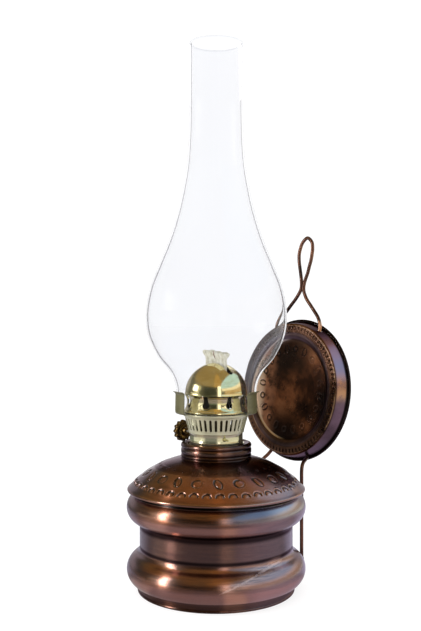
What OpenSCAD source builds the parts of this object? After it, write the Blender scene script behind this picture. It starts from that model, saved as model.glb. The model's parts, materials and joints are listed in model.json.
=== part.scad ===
// Wall and table oil lamp: a spun copper font, a brass flat-wick burner, a clear
// glass chimney, a stamped copper reflector and a hanger bent from one wire.
// Millimetres. +Z is up. The base stands on z = 0 and the lamp's axis is the
// Z axis. The wall side is +Y. The flat of the wick lies along X.

/* [Font] */
// Largest radius of the two round bulges
bulge_r = 58; // [57.5:0.25:58.5]
// Radius of the straight waist between the bulges
waist_r = 49.7; // [49:0.1:50.4]
// Radius of the foot ring
foot_r = 50.5; // [50:0.1:51]
// Thickness of the spun copper sheet
sheet_t = 0.7; // [0.6:0.05:0.8]
// Height of the middle of the lower bulge
low_bulge_z = 14.2; // [13.8:0.1:14.6]
// Height of the middle of the upper bulge
top_bulge_z = 53.8; // [53.4:0.1:54.2]
// Outer radius of the neck
neck_r = 22.6; // [22.3:0.1:22.9]

/* [Burner] */
// Outer radius of the brass thimble ring
thimble_r = 17.3; // [17.1:0.1:17.6]
// Thickness of the brass sheet
brass_t = 0.6; // [0.5:0.05:0.7]
// Pitch of the collar thread
thread_pitch = 1.8; // [1.5:0.1:2]
// Number of air slots round the basket
basket_slots = 36; // [24:1:40]
// Width of one air slot
slot_w = 1.6; // [1.2:0.1:1.8]
// Number of keyholes round the coronet
keyholes = 8; // [6:1:8]
// Outer radius of the dome
dome_r = 20.3; // [20.1:0.1:20.5]
// Angle of the first chimney prong, seen from above
prong_angle = 20; // [0:5:30]

/* [Wick and raiser] */
// Width of the woven wick
wick_w = 19.5; // [18:0.5:20.5]
// Thickness of the woven wick
wick_t = 2.5; // [2:0.1:2.6]
// Height of the wick's top edge
wick_top = 154; // [150:1:156]
// Height of the raiser shaft
shaft_z = 99.5; // [99.3:0.1:99.6]
// Distance from the wick's middle to the raiser shaft
shaft_y = 4.9; // [4.8:0.05:5.2]
// Outer radius of the scalloped knob
knob_r = 7.25; // [6.5:0.25:8]
// Number of scallops on the knob
knob_lobes = 12; // [10:1:14]

/* [Chimney] */
// Length of the glass chimney
chimney_h = 240; // [238:1:250]
// Radius of its foot, a standard 53 mm fitter
fitter_r = 26.5; // [26.4:0.05:26.6]
// Largest radius of the bulb
bulb_r = 46; // [44:0.5:48]
// Thickness of the glass
glass_t = 1.8; // [1.5:0.1:2]

/* [Reflector and hanger] */
// Radius of the reflector's front edge
reflector_r = 46; // [45.7:0.1:46.3]
// Depth of the reflector's skirt
reflector_d = 9.7; // [9.5:0.1:9.9]
// How far the reflector leans back, in degrees
reflector_tilt = 5.9; // [5.7:0.1:6.1]
// Diameter of the hanger wire
wire_d = 2.5; // [2.2:0.1:2.6]

/* [Hidden] */
$fn = 96;

copper = [0.45, 0.25, 0.17];
brass = [0.78, 0.72, 0.45];

// ---- small helpers ----------------------------------------------------------
// Points of an arc about c, from angle a0 to a1, in n steps
function arc(c, r, a0, a1, n = 8) =
    [for (i = [0:n]) let (a = a0 + (a1 - a0) * i / n) [c[0] + r * cos(a), c[1] + r * sin(a)]];
function rev(v) = [for (i = [len(v) - 1:-1:0]) v[i]];
// Smooth curve through four stations
function spl(p0, p1, p2, p3, t) =
    0.5 * (2 * p1 + (p2 - p0) * t + (2 * p0 - 5 * p1 + 4 * p2 - p3) * t * t
           + (3 * p1 - p0 - 3 * p2 + p3) * t * t * t);
function through(v, k) =
    let (n = len(v))
    concat([for (i = [0:n - 2]) for (j = [0:k - 1])
                spl(v[max(i - 1, 0)], v[i], v[i + 1], v[min(i + 2, n - 1)], j / k)],
           [v[n - 1]]);
function unit(v) = v / norm(v);

// ---- font -------------------------------------------------------------------
low_rt = 10.3;                       // lower bulge, radius of its round
top_rt = 9.75;                       // upper bulge
low_c = [bulge_r - low_rt, low_bulge_z];
top_c = [bulge_r + 0.1 - top_rt, top_bulge_z];
low_f = 5.5;                         // hollows where the bulges meet the waist
top_f = 3;
low_fc = [waist_r + low_f, low_bulge_z + sqrt(pow(low_rt + low_f, 2) - pow(waist_r + low_f - low_c[0], 2))];
top_fc = [waist_r + top_f, top_bulge_z - sqrt(pow(top_rt + top_f, 2) - pow(waist_r + top_f - top_c[0], 2))];
low_a = atan2(low_fc[1] - low_c[1], low_fc[0] - low_c[0]);
top_a = atan2(top_fc[1] - top_c[1], top_fc[0] - top_c[0]);
seam_r = 53.7;                       // throat under the rolled seam
seam_z = 64.9;

// The body's outer line, moved inwards by t
function body_line(t) = concat(
    [[foot_r - t, 0], [foot_r - t, 6.3 + t], [low_c[0] + (low_rt - t) * cos(-48), low_c[1] + (low_rt - t) * sin(-48)]],
    arc(low_c, low_rt - t, -44, low_a, 16),
    arc(low_fc, low_f + t, low_a + 180, 180, 6),
    arc(top_fc, top_f + t, 180, top_a + 180, 5),
    arc(top_c, top_rt - t, top_a, 54, 15),
    [[seam_r - t, 62.4], [seam_r - t, seam_z + t], [56.5, seam_z + t]]);

module font_body() {
    color(copper) rotate_extrude() union() {
        polygon(concat(body_line(0), rev(body_line(sheet_t))));
        // rolled edge of the foot, flat underneath
        polygon([[foot_r - 0.05, 0], [foot_r + 0.35, 0], [foot_r + 0.55, 0.5],
                 [foot_r + 0.5, 1.3], [foot_r + 0.2, 1.8], [foot_r - 0.05, 1.9]]);
    }
}

module font_bottom() {
    color(copper) cylinder(h = 0.8, r = foot_r - sheet_t - 0.05);
}

dome_c = [13.2, 27.6];               // middle of the shoulder's arc
dome_s = 58;
rim_c = [56.1, 65.25];               // rolled rim over the body's flange
neck_f = 1.2;
neck_fc = [neck_r + neck_f, dome_c[1] + sqrt(pow(dome_s + neck_f, 2) - pow(neck_r + neck_f - dome_c[0], 2))];
neck_a = atan2(neck_fc[1] - dome_c[1], neck_fc[0] - dome_c[0]);
neck_top = 94.1;                     // the neck's inward flange

shoulder_out = concat(
    [[54.6, 63.7]],
    arc(rim_c, 1.55, -90, 128, 12),
    [[55.0, 67.0], [54.75, 68.05]],
    arc(dome_c, dome_s, 44.8, neck_a, 20),
    arc(neck_fc, neck_f, neck_a + 180, 180, 5),
    // beads and grooves of the neck
    [[neck_r + 0.25, 86.2], [neck_r + 0.35, 86.8], [neck_r + 0.15, 87.4], [neck_r - 0.3, 87.7],
     [neck_r + 0.15, 88.1], [neck_r + 0.3, 88.8], [neck_r + 0.35, 89.7], [neck_r + 0.3, 90.6],
     [neck_r + 0.1, 91.2], [neck_r - 0.35, 91.6]],
    arc([neck_r - 1.3, 93.1], 1.7, -38, 120, 10),
    [[neck_r - 2.7, neck_top], [17.05, neck_top]]);
shoulder_in = concat(
    [[54.6, 63.7 + sheet_t]],
    arc(rim_c, 1.55 - sheet_t, -90, 60, 7),
    [[55.6, 65.75], [54.25, 65.9]],
    arc(dome_c, dome_s - sheet_t, 44.6, neck_a, 20),
    arc(neck_fc, neck_f + sheet_t, neck_a + 180, 180, 5),
    [[neck_r - sheet_t, 93.0], [neck_r - sheet_t - 0.4, neck_top - sheet_t], [17.05, neck_top - sheet_t]]);

module font_shoulder() {
    color(copper) rotate_extrude() polygon(concat(shoulder_out, rev(shoulder_in)));
}

// Rings of the thread, as zigzag points from z0 up, between radii a and b
function thread(a, b, z0, n) =
    [for (i = [0:n - 1]) for (k = [0, 1]) [k == 0 ? a : b, z0 + (i + 0.25 + k / 2) * thread_pitch]];

module thread_collar() {
    color(brass) rotate_extrude()
        polygon(concat([[16.95, 80], [16.95, neck_top + 0.05], [18.2, neck_top + 0.05], [18.2, 94.45], [15.8, 94.45]],
                       rev(thread(15.8, 16.25, 82, 6)), [[15.8, 80]]));
}

module collar_gasket() {
    color([0.2, 0.14, 0.1]) rotate_extrude() translate([15.7, 94.6]) square([1.8, 0.5]);
}

// ---- burner -----------------------------------------------------------------
ring_z0 = 95.2;
ring_z1 = 101.4;
tube_w = 22.2;                       // wick tube outside, along X and Y
tube_d = 4;

module wick_slot(w, d, z0, z1) {
    translate([-w / 2, -d / 2, z0]) cube([w, d, z1 - z0]);
}

module burner_base() {
    color(brass) difference() {
        rotate_extrude() polygon(concat(
            [[0.5, ring_z0], [14.3, ring_z0], [14.3, 84]],
            [[14.9, 84]], thread(14.95, 15.4, 84.6, 5), [[14.95, 94.6], [14.95, ring_z0]],
            [[thimble_r - 0.3, ring_z0], [thimble_r + 0.15, ring_z0 + 0.3], [thimble_r + 0.15, ring_z0 + 0.9],
             [thimble_r, ring_z0 + 1.2], [thimble_r, ring_z1 - 0.5], [thimble_r + 0.2, ring_z1 - 0.25], [thimble_r + 0.2, ring_z1],
             [thimble_r - brass_t, ring_z1], [thimble_r - brass_t, ring_z0 + brass_t], [0.5, ring_z0 + brass_t]]));
        wick_slot(tube_w + 0.1, tube_d + 0.1, 90, 97);
        // hole for the shaft's sleeve
        translate([-15, -shaft_y, shaft_z]) rotate([0, -90, 0]) cylinder(h = 5, r = 1.5, $fn = 32);
    }
}

module wick_tube() {
    color(brass) difference() {
        wick_slot(tube_w, tube_d, 86, 136);
        wick_slot(tube_w - 0.9, tube_d - 0.9, 85, 137);
        for (x = [-5.5, 5.5]) translate([x - 1.7, -tube_d / 2 - 1, shaft_z - 2.8]) cube([3.4, 2, 5.6]);
    }
}

knob_x = -30.8;                      // outer face of the knob
module along_x(x0, x1, r, f = 32) {
    translate([x0, -shaft_y, shaft_z]) rotate([0, 90, 0]) cylinder(h = x1 - x0, r = r, $fn = f);
}

module raiser_shaft() {
    color([0.7, 0.7, 0.68]) union() {
        along_x(knob_x + 0.4, 11.2, 0.9);
        along_x(10.95, 11.55, 1.5);
    }
}

module raiser_sprockets() {
    color(brass) for (x = [-5.5, 5.5]) difference() {
        translate([x - 1, -shaft_y, shaft_z]) rotate([0, 90, 0]) linear_extrude(2)
            polygon([for (i = [0:23]) let (r = i % 2 == 0 ? 3.2 : 2.3) [r * cos(i * 15), r * sin(i * 15)]]);
        along_x(x - 2, x + 2, 0.92);
    }
}

module shaft_sleeve() {
    color(brass) difference() {
        along_x(-20.6, -15.1, 1.45);
        along_x(-21, -14, 0.96);
    }
}

module shaft_bracket() {
    color(brass) difference() {
        translate([9.4, -shaft_y - 2.1, shaft_z - 2.2]) cube([1.2, shaft_y + 2.1 - tube_d / 2 - 0.02, 4.4]);
        along_x(9, 11, 0.95);
    }
}

module raiser_knob() {
    color([0.35, 0.27, 0.12]) difference() {
        union() {
            along_x(knob_x, knob_x + 3, knob_r - 0.85, 64);
            for (i = [0:knob_lobes - 1]) let (a = i * 360 / knob_lobes)
                translate([knob_x, -shaft_y + (knob_r - 1.15) * cos(a), shaft_z + (knob_r - 1.15) * sin(a)])
                    rotate([0, 90, 0]) cylinder(h = 3, r = 1.15, $fn = 24);
            along_x(knob_x + 2.5, knob_x + 6.2, 2.3);
        }
        along_x(knob_x - 1, knob_x + 8, 0.92);
        along_x(knob_x - 1, knob_x + 0.6, knob_r - 2.2, 64);
    }
}

basket_z0 = 101.45;
basket_z1 = 113.8;
function basket_line(t) = [[18.0 - t, basket_z0], [18.25 - t, basket_z0 + 1.6], [21.6 - t, basket_z1 - 1.2], [21.85 - t, basket_z1 - 0.6], [21.85 - t, basket_z1]];

module burner_basket() {
    color(brass) difference() {
        rotate_extrude() polygon(concat([[15.8, basket_z0]], basket_line(0), rev(basket_line(brass_t)),
                                        [[17.4, basket_z0 + brass_t], [15.8, basket_z0 + brass_t]]));
        for (i = [0:basket_slots - 1]) rotate([0, 0, i * 360 / basket_slots])
            translate([17.5, -slot_w / 2, 103.9]) cube([6, slot_w, 7.2]);
    }
}

// Small leaf-shaped catch on the front of the thimble
module basket_catch() {
    color(brass) rotate([0, 0, -22]) translate([thimble_r + 0.22, 0, 98.4]) rotate([0, 90, 0]) union() {
        cylinder(h = 1.1, r = 1.4, $fn = 32);
        linear_extrude(1.1) polygon([[0, 1.35], [-2.7, 0.45], [-2.95, 0], [-2.7, -0.45], [0, -1.35]]);
    }
}

module draught_plate() {
    color(brass) difference() {
        translate([0, 0, 113.3]) cylinder(h = 0.5, r = 21.1);
        wick_slot(tube_w + 0.1, tube_d + 0.1, 112, 115);
        for (k = [[18.6, 30], [15.4, 24]]) for (i = [0:k[1] - 1]) let (a = (i + 0.5) * 360 / k[1])
            if (abs(k[0] * sin(a)) > 4.2 || abs(k[0] * cos(a)) > 13)
                translate([k[0] * cos(a), k[0] * sin(a), 112]) cylinder(h = 3, r = 1.1, $fn = 16);
    }
}

coronet_z0 = 114.6;
coronet_line = [[20.7, coronet_z0], [21.2, coronet_z0 + 0.2], [21.0, 115.5], [20.2, 116.7], [19.5, 118.3], [19.1, 120.2],
                [19.1, 122], [19.4, 123.6], [19.95, 124.8], [20.5, 125.3], [20.7, 125.7]];
keyhole_a = -14;

module coronet() {
    color(brass) difference() {
        rotate_extrude() polygon(concat(coronet_line, rev([for (p = coronet_line) p - [brass_t, 0]])));
        for (i = [0:keyholes - 1]) rotate([0, 0, keyhole_a + i * 360 / keyholes]) {
            translate([15, 0, 120.1]) rotate([0, 90, 0]) cylinder(h = 8, r = 2.2, $fn = 32);
            translate([15, -1.4, 120.5]) cube([8, 2.8, 7]);
        }
    }
}

// One springy prong: a strip bent up from under the coronet, its lip turned out
prong_span = 25;
module prong(a) {
    color([0.6, 0.56, 0.4]) rotate([0, 0, a - prong_span / 2]) rotate_extrude(angle = prong_span)
        polygon([[16, 113.95], [26.3, 113.95], [27.1, 114.3], [27.5, 115.1], [27.6, 116.5], [27.4, 126.6], [27.7, 127.4], [28.9, 128.2],
                 [28.75, 128.7], [27.3, 127.95], [26.85, 127.2], [26.82, 125.6], [27.0, 116.5], [26.95, 115.3], [26.7, 114.7], [26.1, 114.45], [16, 114.45]]);
}
module prong_right() { prong(prong_angle); }
module prong_rear() { prong(prong_angle + 120); }
module prong_left() { prong(prong_angle + 240); }

module burner_dome() {
    color(brass) difference() {
        rotate_extrude() polygon(concat(
            [[dome_r + 0.15, 126], [dome_r + 0.2, 126.5], [dome_r, 126.9]],
            arc([0, 126], dome_r, 6, 88, 22), [[0, 126 + dome_r]],
            [[0, 126 + dome_r - brass_t]], rev(arc([0, 126], dome_r - brass_t, 4, 88, 22)),
            [[dome_r - brass_t, 126]]));
        // slot for the wick, with round ends
        translate([-12.9, -2, 135]) cube([25.8, 4, 15]);
        for (x = [-12.9, 12.9]) translate([x, 0, 135]) cylinder(h = 15, r = 2.3, $fn = 32);
    }
}

// Woven wick, hanging straight down into the oil
module flat_wick() {
    color([0.93, 0.9, 0.83]) wick_slot(wick_w, wick_t, 20.5, wick_top);
}

// ---- chimney ----------------------------------------------------------------
glass_z = 114.8;
// Height above the chimney's foot, and outer radius
chimney_st = [[0, fitter_r], [8, fitter_r], [16.5, fitter_r + 0.05], [25.7, 30.3], [35.2, 37.9], [49, bulb_r - 1.6], [63.7, bulb_r],
              [80.1, bulb_r - 2.8], [95.7, 37.2], [111.4, 30.9], [127.1, 26], [142.7, 22.4], [162, 19.3],
              [185, 18], [210, 17.8], [chimney_h, 17.8]];
chimney_out = through(chimney_st, 3);
chimney_n = len(chimney_out);
// The inside keeps the same thickness across the glass
function inward(v, i, t) =
    let (a = v[max(i - 1, 0)], b = v[min(i + 1, len(v) - 1)], d = unit(b - a))
    v[i] + t * [d[1], -d[0]];
chimney_in = [for (i = [0:chimney_n - 1]) inward(chimney_out, i, glass_t)];

module chimney_glass() {
    color([0.85, 0.9, 0.95, 0.35]) translate([0, 0, glass_z]) rotate_extrude()
        polygon(concat([for (p = chimney_out) [p[1], p[0]]], rev([for (p = chimney_in) [p[1], p[0]]])));
}

// ---- reflector --------------------------------------------------------------
refl_c = [0, 64.6, 125.35];          // middle of the front edge
rr = reflector_r;
rd = reflector_d;
// Radius and depth behind the front edge
refl_out = concat(
    [[0.3, 3.3], [10, 3.2], [20, 2.85], [29, 2.35], [33.5, 2.2], [35.2, 1.7], [36.8, 0.6], [38.3, 0.1], [40, 0]],
    [[rr - 1.2, 0], [rr - 0.4, 0.2], [rr, 0.8], [rr + 0.6, 3.4], [rr + 1.1, 6]],
    [[rr + 1.5, rd - 1.5]],
    arc([rr + 2.45, rd], 1.2, -100, 170, 12));
refl_in = concat(
    [[0.3, 4], [10, 3.9], [20, 3.55], [29, 3.05], [33.7, 2.9], [35.7, 2.2], [37.3, 1.1], [38.5, 0.8], [40, 0.7]],
    [[rr - 1.4, 0.7], [rr - 0.75, 1.1], [rr - 0.15, 3.6], [rr + 0.4, 6.2], [rr + 0.9, rd - 0.9]]);

// Where the wire goes through the skirt, and the way it runs there
skirt_holes = [[[21.2, 74.9, 166.6], [0, -0.7, -6], 1.8], [[-21.2, 74.9, 166.6], [0, -0.7, -6], 1.8],
               [[17.8, 66.4, 81.2], [0.4, -1, -6], 1.75], [[-17.5, 66.4, 81.2], [-0.4, -1, -6], 1.75]];
module aim(v) {
    rotate([0, acos(v[2] / norm(v)), atan2(v[1], v[0])]) children();
}

module reflector_dish() {
    color(copper) difference() {
        translate(refl_c) rotate([-(90 + reflector_tilt), 0, 0]) rotate_extrude()
            polygon(concat(refl_out, rev(refl_in)));
        for (h = skirt_holes) translate(h[0]) aim(h[1]) translate([0, 0, -4]) cylinder(h = 8, r = h[2], $fn = 32);
    }
}

// ---- hanger -----------------------------------------------------------------
// Route of the wire's middle, from its left end up through the loop to its right end
half_loop = [[0, 84.4, 231.8], [4.5, 84.1, 228.7], [6.1, 83.3, 224.2], [6.4, 82.4, 220], [5.9, 81.9, 215.6], [4.8, 81.4, 211.4],
             [3.5, 81, 206.6], [2.2, 80.3, 202.6], [wire_d / 2 + 0.03, 79.7, 198.8], [wire_d / 2 + 0.03, 79.2, 195.4], [2.7, 78.6, 192.1],
             [5.7, 77.9, 187.9], [9.8, 77.5, 183.7], [13.9, 77.2, 179.4], [17.9, 76.5, 175.3], [20.5, 75.6, 170.8], [21.2, 74.9, 166.4]];
right_leg = [[21, 73.9, 156.5], [20.2, 71.9, 136], [19.2, 69.7, 114], [18.4, 67.8, 95], [18, 66.9, 86], [17.9, 66.3, 81.4], [19.4, 63.5, 79.5],
             [22.1, 57.9, 77.7], [23.6, 55.2, 75.4], [24, 54.4, 72], [24, 54.4, 66], [24, 54.4, 52], [24, 54.4, 32], [24, 54.4, 12]];
left_leg = [[-21, 73.9, 156.5], [-20.1, 71.9, 136], [-19, 69.7, 114], [-18.1, 67.8, 95], [-17.7, 66.9, 86], [-17.6, 66.2, 81.4], [-18.8, 63.9, 77.8],
            [-20.5, 61, 74.8], [-22.2, 57.9, 71.4], [-23.4, 55.6, 67.6], [-24, 54.4, 63], [-24, 54.4, 52], [-24, 54.4, 32], [-24, 54.4, 12]];
route = concat(rev(left_leg), rev([for (i = [1:len(half_loop) - 1]) let (p = half_loop[i]) [-p[0], p[1], p[2]]]), half_loop, right_leg);
wire_path = through(route, 2);
wire_n = len(wire_path);
sides = 12;

module hanger_wire() {
    tang = [for (i = [0:wire_n - 1]) unit(wire_path[min(i + 1, wire_n - 1)] - wire_path[max(i - 1, 0)])];
    pts = [for (i = [0:wire_n - 1]) let (n = unit(cross(tang[i], [0, 1, 0])), b = cross(n, tang[i]))
              for (k = [0:sides - 1]) wire_path[i] + wire_d / 2 * (n * cos(k * 360 / sides) + b * sin(k * 360 / sides))];
    faces = concat(
        [[for (k = [0:sides - 1]) k]],
        [for (i = [0:wire_n - 2]) for (k = [0:sides - 1]) let (a = i * sides + k, b = i * sides + (k + 1) % sides) [a, a + sides, b + sides]],
        [for (i = [0:wire_n - 2]) for (k = [0:sides - 1]) let (a = i * sides + k, b = i * sides + (k + 1) % sides) [a, b + sides, b]],
        [[for (k = [sides - 1:-1:0]) (wire_n - 1) * sides + k]]);
    color(copper) polyhedron(points = pts, faces = faces);
}

// Beads of solder between the wire and the backs of the two bulges
module wire_solder() {
    color([0.5, 0.47, 0.44]) for (x = [-24, 24]) for (z = [low_bulge_z, top_bulge_z]) difference() {
        translate([x * 0.985, 53.7, z]) sphere(r = 2.4, $fn = 64);
        translate([x, 54.4, z - 5]) cylinder(h = 10, r = wire_d / 2 + 0.02, $fn = 64);
        translate([0, 0, z - 5]) cylinder(h = 10, r = bulge_r + 0.12, $fn = 360);
    }
}

font_body();
font_bottom();
font_shoulder();
thread_collar();
collar_gasket();
burner_base();
wick_tube();
raiser_shaft();
raiser_sprockets();
shaft_sleeve();
shaft_bracket();
raiser_knob();
burner_basket();
basket_catch();
draught_plate();
coronet();
prong_left();
prong_right();
prong_rear();
burner_dome();
flat_wick();
chimney_glass();
reflector_dish();
hanger_wire();
wire_solder();
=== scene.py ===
import json
import math

import bpy
import numpy as np
from mathutils import Matrix, Vector


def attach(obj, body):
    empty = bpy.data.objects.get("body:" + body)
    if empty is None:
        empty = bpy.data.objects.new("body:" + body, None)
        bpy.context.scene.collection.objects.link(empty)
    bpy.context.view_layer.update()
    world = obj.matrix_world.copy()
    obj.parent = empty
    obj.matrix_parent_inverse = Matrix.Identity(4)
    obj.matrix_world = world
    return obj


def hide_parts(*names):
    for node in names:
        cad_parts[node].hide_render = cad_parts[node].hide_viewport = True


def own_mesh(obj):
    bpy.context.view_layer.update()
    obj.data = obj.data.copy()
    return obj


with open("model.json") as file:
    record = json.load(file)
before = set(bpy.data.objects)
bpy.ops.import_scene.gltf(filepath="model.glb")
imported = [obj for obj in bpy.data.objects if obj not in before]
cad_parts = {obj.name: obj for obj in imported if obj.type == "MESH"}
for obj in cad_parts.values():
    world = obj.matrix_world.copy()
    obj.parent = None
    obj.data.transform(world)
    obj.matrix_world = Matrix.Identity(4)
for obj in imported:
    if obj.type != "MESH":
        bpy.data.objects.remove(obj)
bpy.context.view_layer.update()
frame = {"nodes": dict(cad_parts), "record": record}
nodes = frame["nodes"]
MM = 0.001
rng = np.random.default_rng(7)


# ---- camera ------------------------------------------------------------------
PHI = math.radians(50.5)
cam_data = bpy.data.cameras.new("camera")
cam_data.sensor_width = 36
cam_data.lens = 50.43
cam_data.shift_x = -0.0090
cam_data.shift_y = -0.0128
cam_data.clip_start, cam_data.clip_end = 0.02, 20
cam = bpy.data.objects.new("camera", cam_data)
bpy.context.scene.collection.objects.link(cam)
cam.location = (0.5763 * math.sin(PHI), -0.5763 * math.cos(PHI), 0.1823)
cam.rotation_euler = (math.pi / 2, 0, PHI)
bpy.context.scene.camera = cam
bpy.context.scene.view_settings.view_transform = "Standard"
bpy.context.scene.view_settings.look = "None"


class Tree:
    """A node tree with short calls for adding and joining nodes."""

    def __init__(self, tree):
        self.t = tree
        tree.nodes.clear()

    def n(self, kind, **values):
        node = self.t.nodes.new(kind)
        for k, v in values.items():
            if k.startswith("_"):
                setattr(node, k[1:], v)
        for k, v in values.items():
            if not k.startswith("_"):
                self.put(node, k, v)
        return node

    def put(self, node, key, value):
        sock = node.inputs[int(key[1:])] if key[0] == "i" and key[1:].isdigit() else node.inputs[key.replace("_", " ")]
        if isinstance(value, bpy.types.NodeSocket):
            self.t.links.new(value, sock)
        elif isinstance(value, bpy.types.Node):
            self.t.links.new(value.outputs[0], sock)
        else:
            sock.default_value = value

    def math(self, op, a, b=0.0, clamp=False):
        m = self.t.nodes.new("ShaderNodeMath")
        m.operation = op
        m.use_clamp = clamp
        self.put(m, "i0", a)
        self.put(m, "i1", b)
        return m.outputs[0]

    def add(self, *v):
        s = v[0]
        for x in v[1:]:
            s = self.math("ADD", s, x)
        return s

    def mul(self, *v):
        s = v[0]
        for x in v[1:]:
            s = self.math("MULTIPLY", s, x)
        return s

    def step(self, x, a, b, lo=0.0, hi=1.0):
        """Smooth step of x from lo at a to hi at b."""
        m = self.t.nodes.new("ShaderNodeMapRange")
        m.interpolation_type = "SMOOTHSTEP"
        for i, v in enumerate((x, a, b, lo, hi)):
            self.put(m, f"i{i}", v)
        return m.outputs[0]

    def band(self, x, mid, half, soft):
        """1 within half of mid, and 0 beyond half + soft."""
        return self.step(self.math("ABSOLUTE", self.math("SUBTRACT", x, mid)), half, half + soft, 1.0, 0.0)

    def ramp(self, fac, stops, mode="LINEAR"):
        r = self.t.nodes.new("ShaderNodeValToRGB")
        r.color_ramp.interpolation = mode
        els = r.color_ramp.elements
        while len(els) < len(stops):
            els.new(0.5)
        for e, (p, c) in zip(els, stops):
            e.position = p
            e.color = (*c, 1) if len(c) == 3 else c
        self.put(r, "Fac", fac)
        return r.outputs[0]

    def mix(self, fac, a, b, mode="MIX"):
        m = self.t.nodes.new("ShaderNodeMix")
        m.data_type = "RGBA"
        m.blend_type = mode
        self.put(m, "i0", fac)
        for i, v in ((6, a), (7, b)):
            self.put(m, f"i{i}", (*v, 1) if isinstance(v, tuple) and len(v) == 3 else v)
        return m.outputs[2]

    def noise(self, vec, scale, detail=3.0, rough=0.5):
        return self.n("ShaderNodeTexNoise", Vector=vec, Scale=scale, Detail=detail, Roughness=rough).outputs[0]


# ---- world: white to the eye, a dim studio to whatever shines -------------------
world = bpy.data.worlds.new("studio")
bpy.context.scene.world = world
world.use_nodes = True
world.cycles.sampling_method = "NONE"
w = Tree(world.node_tree)
look = w.n("ShaderNodeSeparateXYZ", i0=w.n("ShaderNodeTexCoord").outputs["Generated"])
dx, dy, dz = look.outputs
sp, cp = math.sin(PHI), math.cos(PHI)
fwd = w.add(w.mul(dx, sp), w.mul(dy, -cp))
side = w.add(w.mul(dx, cp), w.mul(dy, sp))
az = w.mul(w.math("ARCTAN2", side, fwd), 180 / math.pi)
el = w.mul(w.math("ARCSINE", dz), 180 / math.pi)
aside = w.math("ABSOLUTE", az)
c = w.mix(w.step(el, 25.0, 36.0), (0.115, 0.112, 0.085), (0.335, 0.235, 0.09))                            # dim walls, warm ceiling
c = w.mix(w.mul(w.step(el, 25.0, 36.0), w.band(az, 8.0, 14.0, 8.0)), c, (0.55, 0.34, 0.10))
c = w.mix(w.mul(w.band(az, -22.0, 19.0, 12.0), w.band(el, 13.0, 9.0, 11.0)), c, (0.035, 0.038, 0.022))
c = w.mix(w.mul(w.step(aside, 118.0, 140.0), w.band(el, 9.0, 6.0, 6.0)), c, (0.42, 0.40, 0.42))          # behind
c = w.mix(w.mul(w.band(az, -78.0, 14.0, 6.0), w.band(el, 19.5, 5.5, 3.0)), c, (0.62, 0.60, 0.44))        # left, pale
c = w.mix(w.mul(w.band(az, -79.0, 9.0, 6.0), w.band(el, 6.0, 4.0, 4.0)), c, (0.66, 0.62, 0.52))
c = w.mix(w.mul(w.step(az, 124.0, 136.0), w.step(az, 179.0, 162.0), w.band(el, 46.0, 11.0, 6.0)), c, (0.54, 0.50, 0.62))          # behind, right
right = w.mul(w.step(az, 19.0, 25.0), w.step(az, 158.0, 128.0))
ea, ee = w.mul(w.add(az, -77.0), 1 / 60), w.mul(w.add(el, -25.0), 1 / 32.5)
arch = w.mul(w.step(w.add(w.mul(ea, ea), w.mul(ee, ee)), 1.08, 0.94), w.step(el, 19.0, 25.0))
c = w.mix(arch, c, (0.62, 0.90, 1.12))                              # wide window, right
c = w.mix(w.mul(right, w.band(el, 18.5, 3.5, 2.5)), c, (1.25, 1.12, 0.95))
c = w.mix(w.mul(right, w.step(az, 28.0, 36.0), w.band(el, 9.5, 4.0, 2.5)), c, (0.70, 0.50, 0.27))
c = w.mix(w.mul(right, w.step(el, 4.0, 1.5)), c, (1.05, 1.05, 0.85))
c = w.mix(w.mul(w.step(aside, 160.0, 172.0), w.band(el, 6.0, 12.0, 6.0)), c, (0.92, 0.92, 0.95))         # paper, far behind
path = w.n("ShaderNodeLightPath")
shine = w.mul(w.math("GREATER_THAN", path.outputs["Glossy Depth"], 0.5), w.math("LESS_THAN", path.outputs["Diffuse Depth"], 0.5))
room = w.n("ShaderNodeBackground", Color=c, Strength=1.0)
paper = w.n("ShaderNodeBackground", Color=(1, 1, 1, 1), Strength=1.12)
both = w.n("ShaderNodeMixShader", i0=shine, i1=paper.outputs[0], i2=room.outputs[0])
w.n("ShaderNodeOutputWorld", i0=both.outputs[0])


def around(az, dist, el, target=(0, 0, 0.1)):
    """A place seen from the lamp at an angle from the camera's side, to the right positive."""
    a, e = math.radians(-39.5 + az), math.radians(el)
    return (target[0] + dist * math.cos(a) * math.cos(e), target[1] + dist * math.sin(a) * math.cos(e), target[2] + dist * math.sin(e))


def softbox(name, where, size, radiance, color=(1, 1, 1), target=(0, 0, 0.1), up=None):
    data = bpy.data.lights.new(name, "AREA")
    data.shape = "RECTANGLE"
    data.size, data.size_y = size
    data.energy = radiance * math.pi * size[0] * size[1]
    data.color = color
    o = bpy.data.objects.new(name, data)
    bpy.context.scene.collection.objects.link(o)
    o.location = where
    back = (Vector(where) - Vector(target)).normalized()
    if up is None:
        o.rotation_euler = (-back).to_track_quat("-Z", "Y").to_euler()
    else:
        across = Vector(up).cross(back).normalized()
        o.rotation_euler = Matrix((across, back.cross(across), back)).transposed().to_euler()
    return o


def stood(az, dist, z):
    """Like around(), with the height given."""
    a = math.radians(-39.5 + az)
    return (dist * math.cos(a), dist * math.sin(a), z)


key_low, key_top = Vector(stood(-66.5, 0.98, 0.03)), Vector(stood(-77, 0.98, 0.96))
key_light = softbox("key", (key_low + key_top) / 2, (0.15, 0.92), 15, target=(0, 0, 0.50), up=key_top - key_low)
glint_light = softbox("glint", stood(-85.7, 0.97, 0.41), (0.40, 0.26), 3.2)
front_light = softbox("front", stood(12, 1.3, 0.52), (0.26, 0.9), 1.8, (1, 0.93, 0.86), target=(0, 0, 0.52))
softbox("back", around(165, 1.2, 35), (0.4, 0.5), 0.9)


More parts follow.
